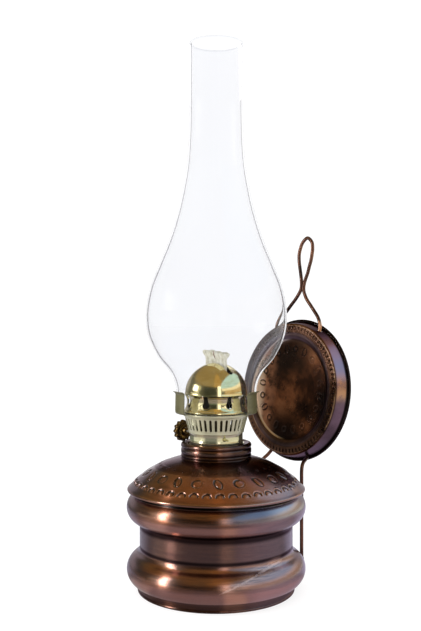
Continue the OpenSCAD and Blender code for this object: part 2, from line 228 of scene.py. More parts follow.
# ---- mesh helpers ----------------------------------------------------------------
def arc(c, r, a0, a1, n=8):
    return [(c[0] + r * math.cos(math.radians(a0 + (a1 - a0) * i / n)), c[1] + r * math.sin(math.radians(a0 + (a1 - a0) * i / n))) for i in range(n + 1)]


def through(v, k):
    """Smooth curve through the stations v, k steps between each two."""
    v = np.asarray(v, float)
    n, out = len(v), []
    for i in range(n - 1):
        p0, p1, p2, p3 = v[max(i - 1, 0)], v[i], v[i + 1], v[min(i + 2, n - 1)]
        for j in range(k):
            t = j / k
            out.append(0.5 * (2 * p1 + (p2 - p0) * t + (2 * p0 - 5 * p1 + 4 * p2 - p3) * t * t + (3 * p1 - p0 - 3 * p2 + p3) * t ** 3))
    return np.array(out + [v[-1]])


def plain_mesh(name, verts, faces):
    me = bpy.data.meshes.new(name)
    me.from_pydata(verts, [], faces)
    me.update()
    o = bpy.data.objects.new(name, me)
    bpy.context.scene.collection.objects.link(o)
    return o


def smooth(o, angle=35):
    o.data.polygons.foreach_set("use_smooth", [True] * len(o.data.polygons))
    o.data.set_sharp_from_angle(angle=math.radians(angle))
    return o


def solid(name, verts, faces, angle=35):
    """A piece from points in millimetres."""
    return smooth(plain_mesh(name, (np.asarray(verts, float) * MM).tolist(), faces), angle)


def revolve(profile, segs, shift=None):
    """Points and faces of a closed profile turned about Z. A row of segs may be finer than the next by a whole ratio.
    shift(j, r, z, angles) gives the turned ring of row j as points, or None for a plain ring."""
    n = len(profile)
    count = segs if hasattr(segs, "__len__") else [segs] * n
    verts, start = [], []
    for j, (r, z) in enumerate(profile):
        t = np.arange(count[j]) * 2 * math.pi / count[j]
        ring = shift(j, r, z, t) if shift else None
        if ring is None:
            ring = np.stack([r * np.cos(t), r * np.sin(t), np.full(len(t), z)], 1)
        start.append(sum(len(v) for v in verts))
        verts.append(ring)
    faces = []
    for j in range(n):
        k = (j + 1) % n
        a, b, sa, sb = start[j], start[k], count[j], count[k]
        if sa == sb:
            for i in range(sa):
                m = (i + 1) % sa
                faces.append((a + i, a + m, b + m, b + i))
        elif sa < sb:
            q = sb // sa
            for i in range(sa):
                m = (i + 1) % sa
                faces.append((a + i, a + m, *[b + (q * (i + 1) - h) % sb for h in range(q + 1)]))
        else:
            q = sa // sb
            for i in range(sb):
                m = (i + 1) % sb
                faces.append((*[a + (q * i + h) % sa for h in range(q + 1)], b + m, b + i))
    return np.concatenate(verts), faces


def normals(profile):
    """Outward directions at the stations of an open profile that is walked with its outside on the right."""
    p = np.asarray(profile, float)
    d = np.gradient(p, axis=0)
    d /= np.maximum(np.linalg.norm(d, axis=1, keepdims=True), 1e-9)
    return np.stack([d[:, 1], -d[:, 0]], 1)


def prism(outline, z0, z1):
    """Closed prism over an outline, as points and faces."""
    n = len(outline)
    v = [(x, y, z0) for x, y in outline] + [(x, y, z1) for x, y in outline]
    f = [tuple(range(n - 1, -1, -1)), tuple(range(n, 2 * n))] + [(i, (i + 1) % n, n + (i + 1) % n, n + i) for i in range(n)]
    return np.array(v, float), f


def relief(o, values):
    """Keeps how deep each point is stamped, so that old polish can stay in the hollows."""
    a = o.data.attributes.new("hollow", "FLOAT", "POINT")
    a.data.foreach_set("value", np.asarray(values, np.float32))


def joined(parts):
    """Several (points, faces) as one."""
    verts, faces, k = [], [], 0
    for v, f in parts:
        verts.append(np.asarray(v, float))
        faces += [tuple(i + k for i in g) for g in f]
        k += len(v)
    return np.concatenate(verts), faces


def cut(o, parts):
    """Takes closed solids out of a piece."""
    v, f = joined(parts)
    tool = plain_mesh("tool", (v * MM).tolist(), f)
    m = o.modifiers.new("cut", "BOOLEAN")
    m.object, m.operation, m.solver = tool, "DIFFERENCE", "MANIFOLD"
    bpy.context.view_layer.update()
    made = bpy.data.meshes.new_from_object(o.evaluated_get(bpy.context.evaluated_depsgraph_get()))
    o.modifiers.clear()
    old = o.data
    o.data = made
    bpy.data.meshes.remove(old)
    bpy.data.objects.remove(tool)
    return smooth(o)


def turned_by(v, axis, degrees):
    a = math.radians(degrees)
    c, s = math.cos(a), math.sin(a)
    i, j = {"x": (1, 2), "y": (2, 0), "z": (0, 1)}[axis]
    out = np.array(v, float)
    out[:, i], out[:, j] = v[:, i] * c - v[:, j] * s, v[:, i] * s + v[:, j] * c
    return out


def soft(x, lo, hi):
    t = np.clip((x - lo) / (hi - lo), 0, 1)
    return t * t * (3 - 2 * t)


def tube(path, radius, sides=20, cap=0.45):
    """A round bar along a path, with rounded ends."""
    p = np.asarray(path, float)
    t = np.gradient(p, axis=0)
    t /= np.linalg.norm(t, axis=1, keepdims=True)
    n = np.cross(t[0], [0, 1, 0.3])
    rings, n = [], n / np.linalg.norm(n)
    radius = np.broadcast_to(np.asarray(radius, float), (len(p),)).copy()
    radius[0] *= cap
    radius[-1] *= cap
    a = np.arange(sides) * 2 * math.pi / sides
    for i in range(len(p)):
        n = n - t[i] * np.dot(n, t[i])
        n /= np.linalg.norm(n)
        b = np.cross(t[i], n)
        rings.append(p[i] + radius[i] * (np.outer(np.cos(a), n) + np.outer(np.sin(a), b)))
    faces = [tuple(range(sides - 1, -1, -1))]
    for i in range(len(p) - 1):
        for k in range(sides):
            m = (k + 1) % sides
            faces.append((i * sides + k, i * sides + m, (i + 1) * sides + m, (i + 1) * sides + k))
    faces.append(tuple((len(p) - 1) * sides + k for k in range(sides)))
    return np.concatenate(rings), faces


made = []


def piece(o, body, slot, *replaced):
    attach(o, body)
    if replaced:
        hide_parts(*replaced)
    made.append((o, slot))
    return o


# ---- font body --------------------------------------------------------------------
bulge_r, waist_r, foot_r, sheet_t = 58, 49.7, 50.5, 0.7
low_rt, top_rt, low_f, top_f = 10.3, 9.75, 5.5, 3.0
low_c, top_c = (bulge_r - low_rt, 14.2), (bulge_r + 0.1 - top_rt, 53.8)
low_fc = (waist_r + low_f, 14.2 + math.sqrt((low_rt + low_f) ** 2 - (waist_r + low_f - low_c[0]) ** 2))
top_fc = (waist_r + top_f, 53.8 - math.sqrt((top_rt + top_f) ** 2 - (waist_r + top_f - top_c[0]) ** 2))
low_a = math.degrees(math.atan2(low_fc[1] - low_c[1], low_fc[0] - low_c[0]))
top_a = math.degrees(math.atan2(top_fc[1] - top_c[1], top_fc[0] - top_c[0]))


def body_line(t, k):
    return ([(foot_r - t, 0.9), (foot_r - t, 3.4), (foot_r - t, 5.6 + t), (foot_r - t + 0.15, 6.2 + t), (low_c[0] + (low_rt - t) * math.cos(math.radians(-48)), low_c[1] + (low_rt - t) * math.sin(math.radians(-48)))]
            + arc(low_c, low_rt - t, -44, low_a, 30 * k) + arc(low_fc, low_f + t, low_a + 180, 180, 10 * k)[1:]
            + [(waist_r - t, z) for z in (29.5, 33, 36.5, 40)]
            + arc(top_fc, top_f + t, 180, top_a + 180, 8 * k) + arc(top_c, top_rt - t, top_a, 54, 30 * k)[1:]
            + [(54.1 - t * 0.8, 61.9), (53.75 - t, 62.6), (53.7 - t, 63.8), (53.7 - t, 64.9 + t), (56.5, 64.9 + t)])


foot = [(foot_r - 0.75, 0.25), (foot_r - 0.5, 0.0), (foot_r + 0.2, 0.0), (foot_r + 0.45, 0.2), (foot_r + 0.55, 0.6), (foot_r + 0.5, 1.1), (foot_r + 0.3, 1.5), (foot_r + 0.02, 1.75)]
outer = [p for p in body_line(0, 1) if p[1] > 1.8]
inner = [p for p in body_line(sheet_t, 1) if p[0] > 0]
v, f = revolve(foot + outer + inner[::-1], 240)
font_body = piece(solid("font_body_spun", v, f, 30), "font", "copper", "font_body")

# ---- font shoulder with its stamped rows -------------------------------------------
dome_c, dome_s, rim_c, neck_r, neck_f, neck_top = (13.2, 27.6), 58.0, (56.1, 65.25), 22.6, 1.2, 94.1
neck_fc = (neck_r + neck_f, dome_c[1] + math.sqrt((dome_s + neck_f) ** 2 - (neck_r + neck_f - dome_c[0]) ** 2))
neck_a = math.degrees(math.atan2(neck_fc[1] - dome_c[1], neck_fc[0] - dome_c[0]))


def at_r(r):
    return math.degrees(math.acos((r - dome_c[0]) / dome_s))


zones = [(54.3, 53.9, 1), (53.9, 49.6, 22), (49.6, 49.0, 1), (49.0, 41.2, 34), (41.2, 38.0, 3), (38.0, 35.0, 12)]
radii = [54.3]
for a, b, k in zones:
    radii += [a + (b - a) * i / k for i in range(1, k + 1)]
stamped = [(dome_c[0] + dome_s * math.cos(math.radians(at_r(r))), dome_c[1] + dome_s * math.sin(math.radians(at_r(r)))) for r in radii]
lead = [(54.4, 64.35)] + arc((56.75, 65.0), 0.95, -100, 62, 14) + [(56.9, 66.1), (56.35, 66.5), (55.7, 67.1), (54.95, 67.85)]
rest = arc(dome_c, dome_s, at_r(34.2), neck_a, 16) + arc(neck_fc, neck_f, neck_a + 180, 180, 6) + [
    (neck_r + 0.02, 84.9), (neck_r + 0.02, 85.6), (neck_r + 0.12, 86.0), (neck_r + 0.28, 86.35), (neck_r + 0.34, 86.8), (neck_r + 0.22, 87.2), (neck_r - 0.05, 87.45), (neck_r - 0.3, 87.7),
    (neck_r - 0.05, 87.95), (neck_r + 0.18, 88.2), (neck_r + 0.3, 88.8), (neck_r + 0.35, 89.7), (neck_r + 0.3, 90.6), (neck_r + 0.14, 91.1), (neck_r - 0.1, 91.4), (neck_r - 0.35, 91.65)
] + arc((neck_r - 1.3, 93.1), 1.7, -40, 120, 14) + [(neck_r - 2.7, neck_top), (17.05, neck_top)]
inside = [(17.05, neck_top - sheet_t), (neck_r - sheet_t - 0.4, neck_top - sheet_t), (neck_r - sheet_t, 93.0), (neck_r - sheet_t, 85)] + arc(dome_c, dome_s - sheet_t - 0.25, neck_a, 44.6, 16) + [(54.25, 66.6), (55.5, 65.5), (55.0, 64.95)]
profile = lead + stamped + rest + inside
fine = [960 if len(lead) <= j < len(lead) + len(stamped) else 240 for j in range(len(profile))]
out_n = np.zeros((len(profile), 2))
k0, k1 = len(lead), len(lead) + len(stamped)
for j in range(k0, k1):
    out_n[j] = np.array([profile[j][0] - dome_c[0], profile[j][1] - dome_c[1]]) / dome_s


def groove(d, half, depth):
    """Depth of a rounded groove at a distance d from its middle."""
    return -depth * np.clip(1 - (d / half) ** 2, 0, 1) ** 1.5


def shoulder_relief(r, t):
    """How far the stamping moves the sheet outwards, at radius r and plan angles t, in millimetres."""
    s = (at_r(r)) * math.pi / 180 * dome_s             # along the meridian, growing towards the neck
    h = np.zeros(len(t))
    # half moons along the rim, open towards it
    step = 2 * math.pi / 42
    off = (t - math.radians(2.6 - 39.5) + step / 2) % step - step / 2
    index = np.round((t - math.radians(2.6 - 39.5)) / step).astype(int) % 42
    wob = 0.15 * np.sin(index * 2.4)
    x, y = off * r, s - (at_r(53.1) * math.pi / 180 * dome_s) - wob
    d = np.hypot(x, y * 1.05)
    open_side = soft(-y, 0.2, 0.9)
    h += groove(d - 2.35, 0.75, 0.5) * (1 - open_side) + 0.16 * np.exp(-((d - 3.2) / 0.35) ** 2) * (1 - open_side)
    h += 0.16 * np.exp(-(d / 1.2) ** 2)
    # leaves and rings by turns
    step = 2 * math.pi / 22
    for start, ring in ((1.7, False), (18.06, True)):
        off = (t - math.radians(start - 39.5) + step) % (2 * step) - step
        x, y = off * r, s - at_r(45.2) * math.pi / 180 * dome_s
        if ring:
            d = np.hypot(x, y)
            h += groove(d - 3.1, 0.95, 0.55) * (0.35 + 0.65 * soft(-x / np.maximum(d, 0.1) + 0.35 * np.sign(y), -0.3, 0.5))
            h += 0.22 * np.exp(-(d / 1.3) ** 2) + groove(d, 0.5, 0.3)
        else:
            for side in (-1, 1):
                d = np.abs(np.hypot(x + 0.25 * y + side * 2.9, y) - 5.2)
                h += groove(d, 0.98 if side < 0 else 0.7, 0.6 if side < 0 else 0.36) * soft(4.4 - np.abs(y), 0.0, 0.8) * soft((x + 0.25 * y) * side, -0.4, 0.1)
            h += 0.16 * np.exp(-((x + 0.25 * y) / 1.1) ** 2 - (y / 2.6) ** 2)
    # small dots near the neck
    step = 2 * math.pi / 32
    off = (t - math.radians(-39.5) + step / 2) % step - step / 2
    x, y = off * r, s - at_r(36.5) * math.pi / 180 * dome_s
    d = np.hypot(x, y)
    h += groove(d, 0.85, 0.38) + 0.10 * np.exp(-((d - 1.15) / 0.3) ** 2)
    return h


sunk = {}


def shoulder_ring(j, r, z, t):
    if not k0 <= j < k1:
        return None
    h = shoulder_relief(r, t) + 0.03 * np.sin(3 * t + 1) + 0.02 * np.sin(7 * t + 2)
    if j == k0 or j == k1 - 1:
        h = np.zeros(len(t))
    sunk[j] = -h
    rr_, zz_ = r + out_n[j][0] * h, z + out_n[j][1] * h
    return np.stack([rr_ * np.cos(t), rr_ * np.sin(t), zz_], 1)


v, f = revolve(profile, fine, shoulder_ring)
shoulder = piece(solid("font_shoulder_stamped", v, f, 50), "font", "copper", "font_shoulder")
relief(shoulder, np.concatenate([sunk.get(j, np.zeros(fine[j])) for j in range(len(profile))]))

# ---- reflector dish ------------------------------------------------------------------
tilt, rr, rd = math.radians(5.9), 46.0, 9.7
refl_c = np.array([0, 64.6, 125.35])
ey, ez = np.array([0, -math.sin(tilt), -math.cos(tilt)]), np.array([0, math.cos(tilt), -math.sin(tilt)])


def line_at(stations, x):
    s = np.asarray(stations, float)
    return np.interp(x, s[:, 0], s[:, 1])


front = through([(0.02, 3.3), (10, 3.2), (20, 2.85), (29, 2.35), (33.2, 2.2), (34.9, 1.85), (36.8, 0.6), (38.3, 0.1), (40, 0.0), (42.5, 0.0), (44.8, 0.0)], 10)
grid = [0.02, 3, 6, 9, 12, 15, 18, 20, 21.5] + list(np.arange(22.5, 33.01, 0.35)) + [33.4, 33.8, 34.2, 34.6, 35, 35.4, 35.8, 36.2, 36.6, 37, 37.5, 38, 38.5, 39, 39.5, 40] + list(np.arange(40.35, 44.9, 0.3))
f_line = [(r, float(line_at(front, r))) for r in grid]
skirt_out = [(45.2, 0.08), (45.6, 0.22), (45.88, 0.5), (46.05, 0.95), (46.3, 2.2), (46.6, 3.5), (46.85, 4.7), (47.1, 6), (47.3, 7.1), (47.42, 7.8)] + arc((rr + 2.45, rd), 1.2, -118, 178, 18)
skirt_in = [(46.9, rd - 0.9), (46.4, 6.2), (45.85, 3.6), (45.4, 1.5), (45.0, 0.95)]
b_line = [(r, float(line_at(front, r)) + 0.7) for r in grid[::-1]]
dish_profile = f_line + skirt_out + skirt_in + b_line
n_front, n_mid = len(f_line), len(skirt_out) + len(skirt_in)
dish_segs = []
for j, (r, z) in enumerate(dish_profile):
    dish_segs.append(600 if 22 < r < 44.95 and (j < n_front or j >= n_front + n_mid) else 200)


def dish_relief(r, t):
    """How deep the stamping sinks the dish's face, at radius r and turns t, in millimetres."""
    h = np.zeros(len(t))
    # short dashes round the flat border
    step = 2 * math.pi / 84
    off = (t + step / 2) % step - step / 2
    x, y = off * r, r - 42.9
    d = np.hypot(np.maximum(np.abs(y) - 0.9, 0), x)
    h += 0.30 * np.clip(1 - (d / 0.6) ** 2, 0, 1) ** 1.5 - 0.12 * np.exp(-((d - 0.9) / 0.28) ** 2)
    # leaves and small rings by turns, worn off in places
    kept = 0.35 + 0.65 * soft(np.cos(t - math.radians(215)), -0.3, 0.5)
    step = 2 * math.pi / 20
    for start, ring in ((0.10, False), (0.10 + step, True)):
        off = (t - start + step) % (2 * step) - step
        x, y = off * r, r - 28.6
        if ring:
            d = np.hypot(x, y)
            h += kept * (0.32 * np.clip(1 - ((d - 1.9) / 0.75) ** 2, 0, 1) ** 1.5 - 0.14 * np.exp(-(d / 0.9) ** 2))
        else:
            for side in (-1, 1):
                d = np.abs(np.hypot(x + side * 2.3, y) - 4.1)
                h += kept * 0.34 * np.clip(1 - (d / 0.75) ** 2, 0, 1) ** 1.5 * soft(3.3 - np.abs(y), 0, 0.8) * soft(x * side, -0.3, 0.1)
    return h


sunk_dish = {}


def dish_ring(j, r, z, t):
    h = 0.05 * np.sin(2 * t + 0.7) * soft(r, 5, 30) if r > 1 else 0 * t
    if dish_segs[j] == 600:
        deep = dish_relief(r, t)
        if j < n_front:
            sunk_dish[j] = deep * 1.3
        h = h + deep
    x, y, zz = r * np.cos(t), r * np.sin(t), z + h * (r < 44.95)
    return refl_c + np.outer(x, [1, 0, 0]) + np.outer(y, ey) + np.outer(zz, ez)


v, f = revolve(dish_profile, dish_segs, dish_ring)
dish = solid("reflector_stamped", v, f, 50)
relief(dish, np.concatenate([sunk_dish.get(j, np.zeros(dish_segs[j])) for j in range(len(dish_profile))]))
holes = []
for c_, d_, r_ in (((21.2, 74.9, 166.6), (0, -0.7, -6), 1.8), ((-21.2, 74.9, 166.6), (0, -0.7, -6), 1.8), ((17.8, 66.4, 81.2), (0.4, -1, -6), 1.75), ((-17.5, 66.4, 81.2), (-0.4, -1, -6), 1.75)):
    d_ = np.array(d_) / np.linalg.norm(d_)
    holes.append(tube([np.array(c_) - 4 * d_, np.array(c_), np.array(c_) + 4 * d_], r_, 28, 1.0))
cut(dish, holes)
piece(smooth(dish, 50), "font", "copper", "reflector_dish")

# ---- hanger wire -----------------------------------------------------------------------
half_loop = [(0, 84.4, 231.8), (4.5, 84.1, 228.7), (6.1, 83.3, 224.2), (6.4, 82.4, 220), (5.9, 81.9, 215.6), (4.8, 81.4, 211.4),
             (3.5, 81, 206.6), (2.2, 80.3, 202.6), (1.28, 79.7, 198.8), (1.28, 79.2, 195.4), (2.7, 78.6, 192.1),
             (5.7, 77.9, 187.9), (9.8, 77.5, 183.7), (13.9, 77.2, 179.4), (17.9, 76.5, 175.3), (20.5, 75.6, 170.8), (21.2, 74.9, 166.4)]
right_leg = [(21, 73.9, 156.5), (20.2, 71.9, 136), (19.2, 69.7, 114), (18.4, 67.8, 95), (18, 66.9, 86), (17.9, 66.3, 81.4), (19.4, 63.5, 79.5),
             (22.1, 57.9, 77.7), (23.6, 55.2, 75.4), (24, 54.4, 72), (24, 54.4, 66), (24, 54.4, 52), (24, 54.4, 32), (24, 54.4, 12)]
left_leg = [(-21, 73.9, 156.5), (-20.1, 71.9, 136), (-19, 69.7, 114), (-18.1, 67.8, 95), (-17.7, 66.9, 86), (-17.6, 66.2, 81.4), (-18.8, 63.9, 77.8),
            (-20.5, 61, 74.8), (-22.2, 57.9, 71.4), (-23.4, 55.6, 67.6), (-24, 54.4, 63), (-24, 54.4, 52), (-24, 54.4, 32), (-24, 54.4, 12)]
route = left_leg[::-1] + [(-x, y, z) for x, y, z in half_loop[1:]][::-1] + half_loop + right_leg
v, f = tube(through(route, 6), 1.245, 24)
piece(solid("hanger_wire_round", v, f, 40), "font", "copper_wire", "hanger_wire")

# ---- chimney ---------------------------------------------------------------------------
fitter_r, bulb_r, glass_t, glass_z, chimney_h = 26.5, 46.0, 1.8, 114.8, 240.0
stations = [(0, fitter_r), (8, fitter_r), (16.5, fitter_r + 0.05), (25.7, 30.3), (35.2, 37.9), (49, bulb_r - 1.6), (63.7, bulb_r),
            (80.1, bulb_r - 2.8), (95.7, 37.2), (111.4, 30.9), (127.1, 26), (142.7, 22.4), (162, 19.3), (185, 18), (210, 17.8), (chimney_h, 17.8)]
line = through(stations, 9)
out_l = np.stack([line[:, 1], line[:, 0]], 1)
in_l = out_l - normals(out_l) * glass_t
lo_c, hi_c = (fitter_r - glass_t / 2, glass_t / 2), (17.8 - glass_t / 2, chimney_h - glass_t / 2)
out_l = [tuple(p) for p in out_l if glass_t / 2 < p[1] < chimney_h - glass_t / 2]
in_l = [tuple(p) for p in in_l if glass_t / 2 < p[1] < chimney_h - glass_t / 2]
profile = arc(lo_c, glass_t / 2, -180, 0, 10) + out_l + arc(hi_c, glass_t / 2, 0, 180, 10) + in_l[::-1]
v, f = revolve([(r, z + glass_z) for r, z in profile], 180)
chimney = piece(solid("chimney_blown", v, f, 60), "chimney", "glass", "chimney_glass")
chimney.visible_shadow = False

# ---- burner: ring, basket, coronet, dome --------------------------------------------------
tr, bt = 17.3, 0.6
z0, z1 = 95.2, 101.4
ring_out = [(tr - 0.35, z0), (tr + 0.02, z0 + 0.08), (tr + 0.15, z0 + 0.35), (tr + 0.15, z0 + 0.85), (tr + 0.06, z0 + 1.1), (tr, z0 + 1.35), (tr, z0 + 2.6), (tr, z0 + 3.9), (tr, z1 - 0.75), (tr + 0.06, z1 - 0.5), (tr + 0.18, z1 - 0.3), (tr + 0.2, z1 - 0.12), (tr + 0.12, z1)]
ring_in = [(tr - bt, z1), (tr - bt, z0 + bt), (0.5, z0 + bt), (0.5, z0), (14.3, z0), (14.3, 84.1), (14.9, 84.1)]
thread = [(14.95 if k == 0 else 15.4, 84.6 + (i + 0.25 + k / 2) * 1.8) for i in range(5) for k in (0, 1)]
v, f = revolve(ring_out + ring_in + thread + [(14.95, 94.6), (15.1, z0)], 180)
base = solid("burner_ring_spun", v, f)
cut(base, [tube([(-19.0, -4.9, 99.5), (-17.0, -4.9, 99.5), (-15.0, -4.9, 99.5)], 1.47, 28, 1.0),
           prism([(-11.15, -2.05), (11.15, -2.05), (11.15, 2.05), (-11.15, 2.05)], 90, 97)])
piece(base, "burner", "brass", "burner_base")
b0, b1 = 101.45, 113.8
basket = through([(18.05, b0), (18.12, b0 + 0.8), (18.28, b0 + 1.6), (19.1, b0 + 4.7), (19.95, b0 + 7.9), (20.8, b0 + 11.0 - 0.4), (21.35, b1 - 1.6), (21.72, b1 - 0.9), (21.85, b1 - 0.35), (21.85, b1)], 3)
bn = normals(basket)
b_in = basket - bn * bt
v, f = revolve([(15.8, b0)] + [tuple(p) for p in basket] + [tuple(p) for p in b_in[::-1] if p[1] > b0 + bt] + [(15.8, b0 + bt)], 288)
bk = solid("basket_slotted", v, f)


def outward(outline, x0, x1):
    """Closed prism along X over an outline of y and z."""
    v, f = prism(outline, x0, x1)
    return v[:, [2, 0, 1]], f


def slot_cutter(width, za, zb, x0, x1):
    """Upright slot with round ends."""
    h = width / 2
    return outward([(h * math.cos(a), zb - h + h * math.sin(a)) for a in np.linspace(0, math.pi, 9)]
                   + [(h * math.cos(a), za + h + h * math.sin(a)) for a in np.linspace(math.pi, 2 * math.pi, 9)], x0, x1)


one = slot_cutter(1.6, 103.5, 111.1, 16.9, 23)
cut(bk, [(turned_by(one[0], "z", i * 10), one[1]) for i in range(36)])
piece(bk, "burner", "brass", "burner_basket")

c0 = 114.6
crown = through([(20.75, c0), (21.12, c0 + 0.15), (21.15, c0 + 0.5), (20.95, c0 + 1.1), (20.2, c0 + 2.1), (19.5, c0 + 3.7), (19.1, c0 + 5.6), (19.08, c0 + 7.4), (19.38, c0 + 9.0), (19.9, c0 + 10.1), (20.4, c0 + 10.7), (20.68, c0 + 11.1)], 5)
crown_in = crown - [bt, 0]
hole_mid, hole_r = c0 + 5.5, 2.25


def keyhole_d(x, z):
    """Distance outside a keyhole, across x and height z."""
    d1 = np.hypot(x, z - hole_mid) - hole_r
    d2 = np.maximum(np.abs(x) - 1.35, hole_mid - z)
    h = np.clip(0.5 + 0.5 * (d2 - d1) / 1.2, 0, 1)
    return d2 * (1 - h) + d1 * h - 1.2 * h * (1 - h)


def crown_ring(j, r, z, t):
    if j >= len(crown):
        return None
    step = 2 * math.pi / 8
    off = (t - math.radians(-14) + step / 2) % step - step / 2
    d = keyhole_d(off * r, z)
    h = 0.22 * np.exp(-((d - 0.25) / 0.45) ** 2) * soft(hole_mid + 1.5 - z, 0, 2.5)
    rr_ = r + h
    return np.stack([rr_ * np.cos(t), rr_ * np.sin(t), np.full(len(t), z)], 1)


v, f = revolve([tuple(p) for p in crown] + [tuple(p) for p in crown_in[::-1]], 360, crown_ring)
cr = solid("coronet_pierced", v, f)
outline = [(-1.35, c0 + 13)]
neck = [(-1.35, c0 + 9.4), (-1.4, c0 + 8.6), (-1.6, c0 + 7.7)]
round_part = [(hole_r * math.sin(a), hole_mid + hole_r * math.cos(a)) for a in np.radians(np.arange(-50, -311, -13))]
outline += neck + round_part + [(-x, z) for x, z in neck[::-1]] + [(1.35, c0 + 13)]
key = outward(outline, 15.0, 24.0)
cut(cr, [(turned_by(key[0], "z", -14 + 45 * i), key[1]) for i in range(8)])
piece(cr, "burner", "brass", "coronet")

dr = 20.3
shell = [(dr + 0.05, 126.0), (dr + 0.18, 126.12), (dr + 0.2, 126.5), (dr + 0.08, 126.85), (dr - 0.06, 127.3)] + arc((0, 126), dr, 6, 89.9, 48)
inner_shell = arc((0, 126), dr - bt, 89.9, 2, 40) + [(dr - bt, 126.0)]
v, f = revolve(shell + inner_shell, 216)
dome = solid("dome_spun", v, f)
ends = [(12.9 + 2.3 * math.cos(a), 2.3 * math.sin(a)) for a in np.radians(np.arange(-60, 61, 12))]
cut(dome, [prism([(-x, -y) for x, y in ends] + ends, 135, 150)])
piece(dome, "dome", "brass", "burner_dome")

# ---- catch on the ring ---------------------------------------------------------------------
def pillow(outline, height, steps=((1.0, 0.0), (1.0, 0.35), (0.93, 0.68), (0.78, 0.88), (0.5, 1.0))):
    """A closed raised shape over an outline round its middle."""
    o_ = np.asarray(outline, float)
    mid, n = o_.mean(0), len(o_)
    v = np.concatenate([np.column_stack([mid + (o_ - mid) * a, np.full(n, height * b)]) for a, b in steps])
    f = [tuple(range(n - 1, -1, -1))] + [(j * n + i, j * n + (i + 1) % n, (j + 1) * n + (i + 1) % n, (j + 1) * n + i) for j in range(len(steps) - 1) for i in range(n)] + [tuple((len(steps) - 1) * n + i for i in range(n))]
    return v, f


def on_ring(part, lift=0.0):
    """Lays a shape of side, up and out on the ring's side."""
    v, f = part
    a = math.radians(-22) + v[:, 0] / 17.6
    r = 17.45 + lift + v[:, 2]
    return np.column_stack([r * np.cos(a), r * np.sin(a), 98.4 + v[:, 1]]), f


turn = np.linspace(0, 2 * math.pi, 29)[:-1]
boss = [(1.32 * math.cos(a), 1.32 * math.sin(a)) for a in turn]
pin_head = [(0.62 * math.cos(a), 0.62 * math.sin(a)) for a in turn]
stem = [(0.42, 0.9), (0.36, 1.8), (0.5, 2.5), (0.28, 2.92), (0, 3.0), (-0.28, 2.92), (-0.5, 2.5), (-0.36, 1.8), (-0.42, 0.9)]
leaf = [(0.8 + 2.3 * q, -0.25 - 0.5 * q + 0.62 * math.sin(math.pi * q) ** 0.8) for q in np.linspace(0, 1, 9)] + [(0.8 + 2.3 * q, -0.25 - 0.5 * q - 0.62 * math.sin(math.pi * q) ** 0.8) for q in np.linspace(1, 0, 9)[1:-1]]
v, f = joined([on_ring(pillow(boss, 0.85)), on_ring(pillow(pin_head, 0.35), 0.8), on_ring(pillow(stem, 0.5)), on_ring(pillow(leaf, 0.42))])
piece(solid("catch_leaf", v, f, 40), "burner", "brass", "basket_catch")

# ---- knob --------------------------------------------------------------------------------
kx, ky, kz, kr, lobes = -30.8, -4.9, 99.5, 7.25, 12


def knob_edge(t):
    step = 2 * math.pi / lobes
    off = (t + step / 2) % step - step / 2
    c_, q = kr - 1.15, 1.15
    inside_ = q * q - (c_ * np.sin(off)) ** 2
    return np.maximum(np.where(inside_ > 0, c_ * np.cos(off) + np.sqrt(np.maximum(inside_, 0)), 0), kr - 0.85)


# rings from the middle of the outer face round the edge to the hub: share of the edge, fixed radius, place along the shaft
knob_rows = [(0, 0.5, 0.35), (0, 1.3, 0.3), (0, 1.7, 0.5), (0, 2.2, 0.62), (0, 3.9, 0.62), (0, 4.5, 0.55), (0, 4.95, 0.2), (0, 5.3, 0.02), (0.93, 0, 0.0), (0.98, 0, 0.15), (1.0, 0, 0.5), (1.0, 0, 2.5), (0.98, 0, 2.85),
             (0.93, 0, 3.0), (0, 5.4, 3.0), (0, 5.0, 2.9), (0, 4.6, 2.7), (0, 3.2, 2.7), (0, 2.75, 2.95), (0, 2.4, 3.05), (0, 2.3, 3.3), (0, 2.3, 5.8), (0, 2.1, 6.15), (0, 0.95, 6.2)]
t = np.arange(192) * 2 * math.pi / 192
rows = []
for share, fixed, along in knob_rows:
    r = share * knob_edge(t) if share else np.full(len(t), fixed)
    dents = 0.18 * np.cos(t * 24) * (3.0 < fixed < 4.7) + 0.14 * np.cos(t * 12) * (fixed in (2.2, 3.2))
    rows.append(np.stack([kx + along + dents * (1 if along < 1.5 else -1), ky + r * np.cos(t), kz + r * np.sin(t)], 1))
n = len(t)
faces = [tuple(range(n - 1, -1, -1))] + [(j * n + i, j * n + (i + 1) % n, (j + 1) * n + (i + 1) % n, (j + 1) * n + i) for j in range(len(rows) - 1) for i in range(n)] + [tuple((len(rows) - 1) * n + i for i in range(n))]
piece(solid("knob_scalloped", np.concatenate(rows), faces, 40), "raiser", "brass", "raiser_knob")

# ---- wick ----------------------------------------------------------------------------------
wz = np.concatenate([np.arange(20.5, 138, 1.5), np.arange(138, 153.85, 0.2)])
per = []
for i in range(68):
    per.append((-1 + 2 * (i + 0.5) / 68, -1))
for i in range(8):
    per.append((1, -1 + 2 * (i + 0.5) / 8))
for i in range(68):
    per.append((1 - 2 * (i + 0.5) / 68, 1))
for i in range(8):
    per.append((-1, 1 - 2 * (i + 0.5) / 8))
per = np.array(per)
phase = rng.uniform(0, 6.28, 8)


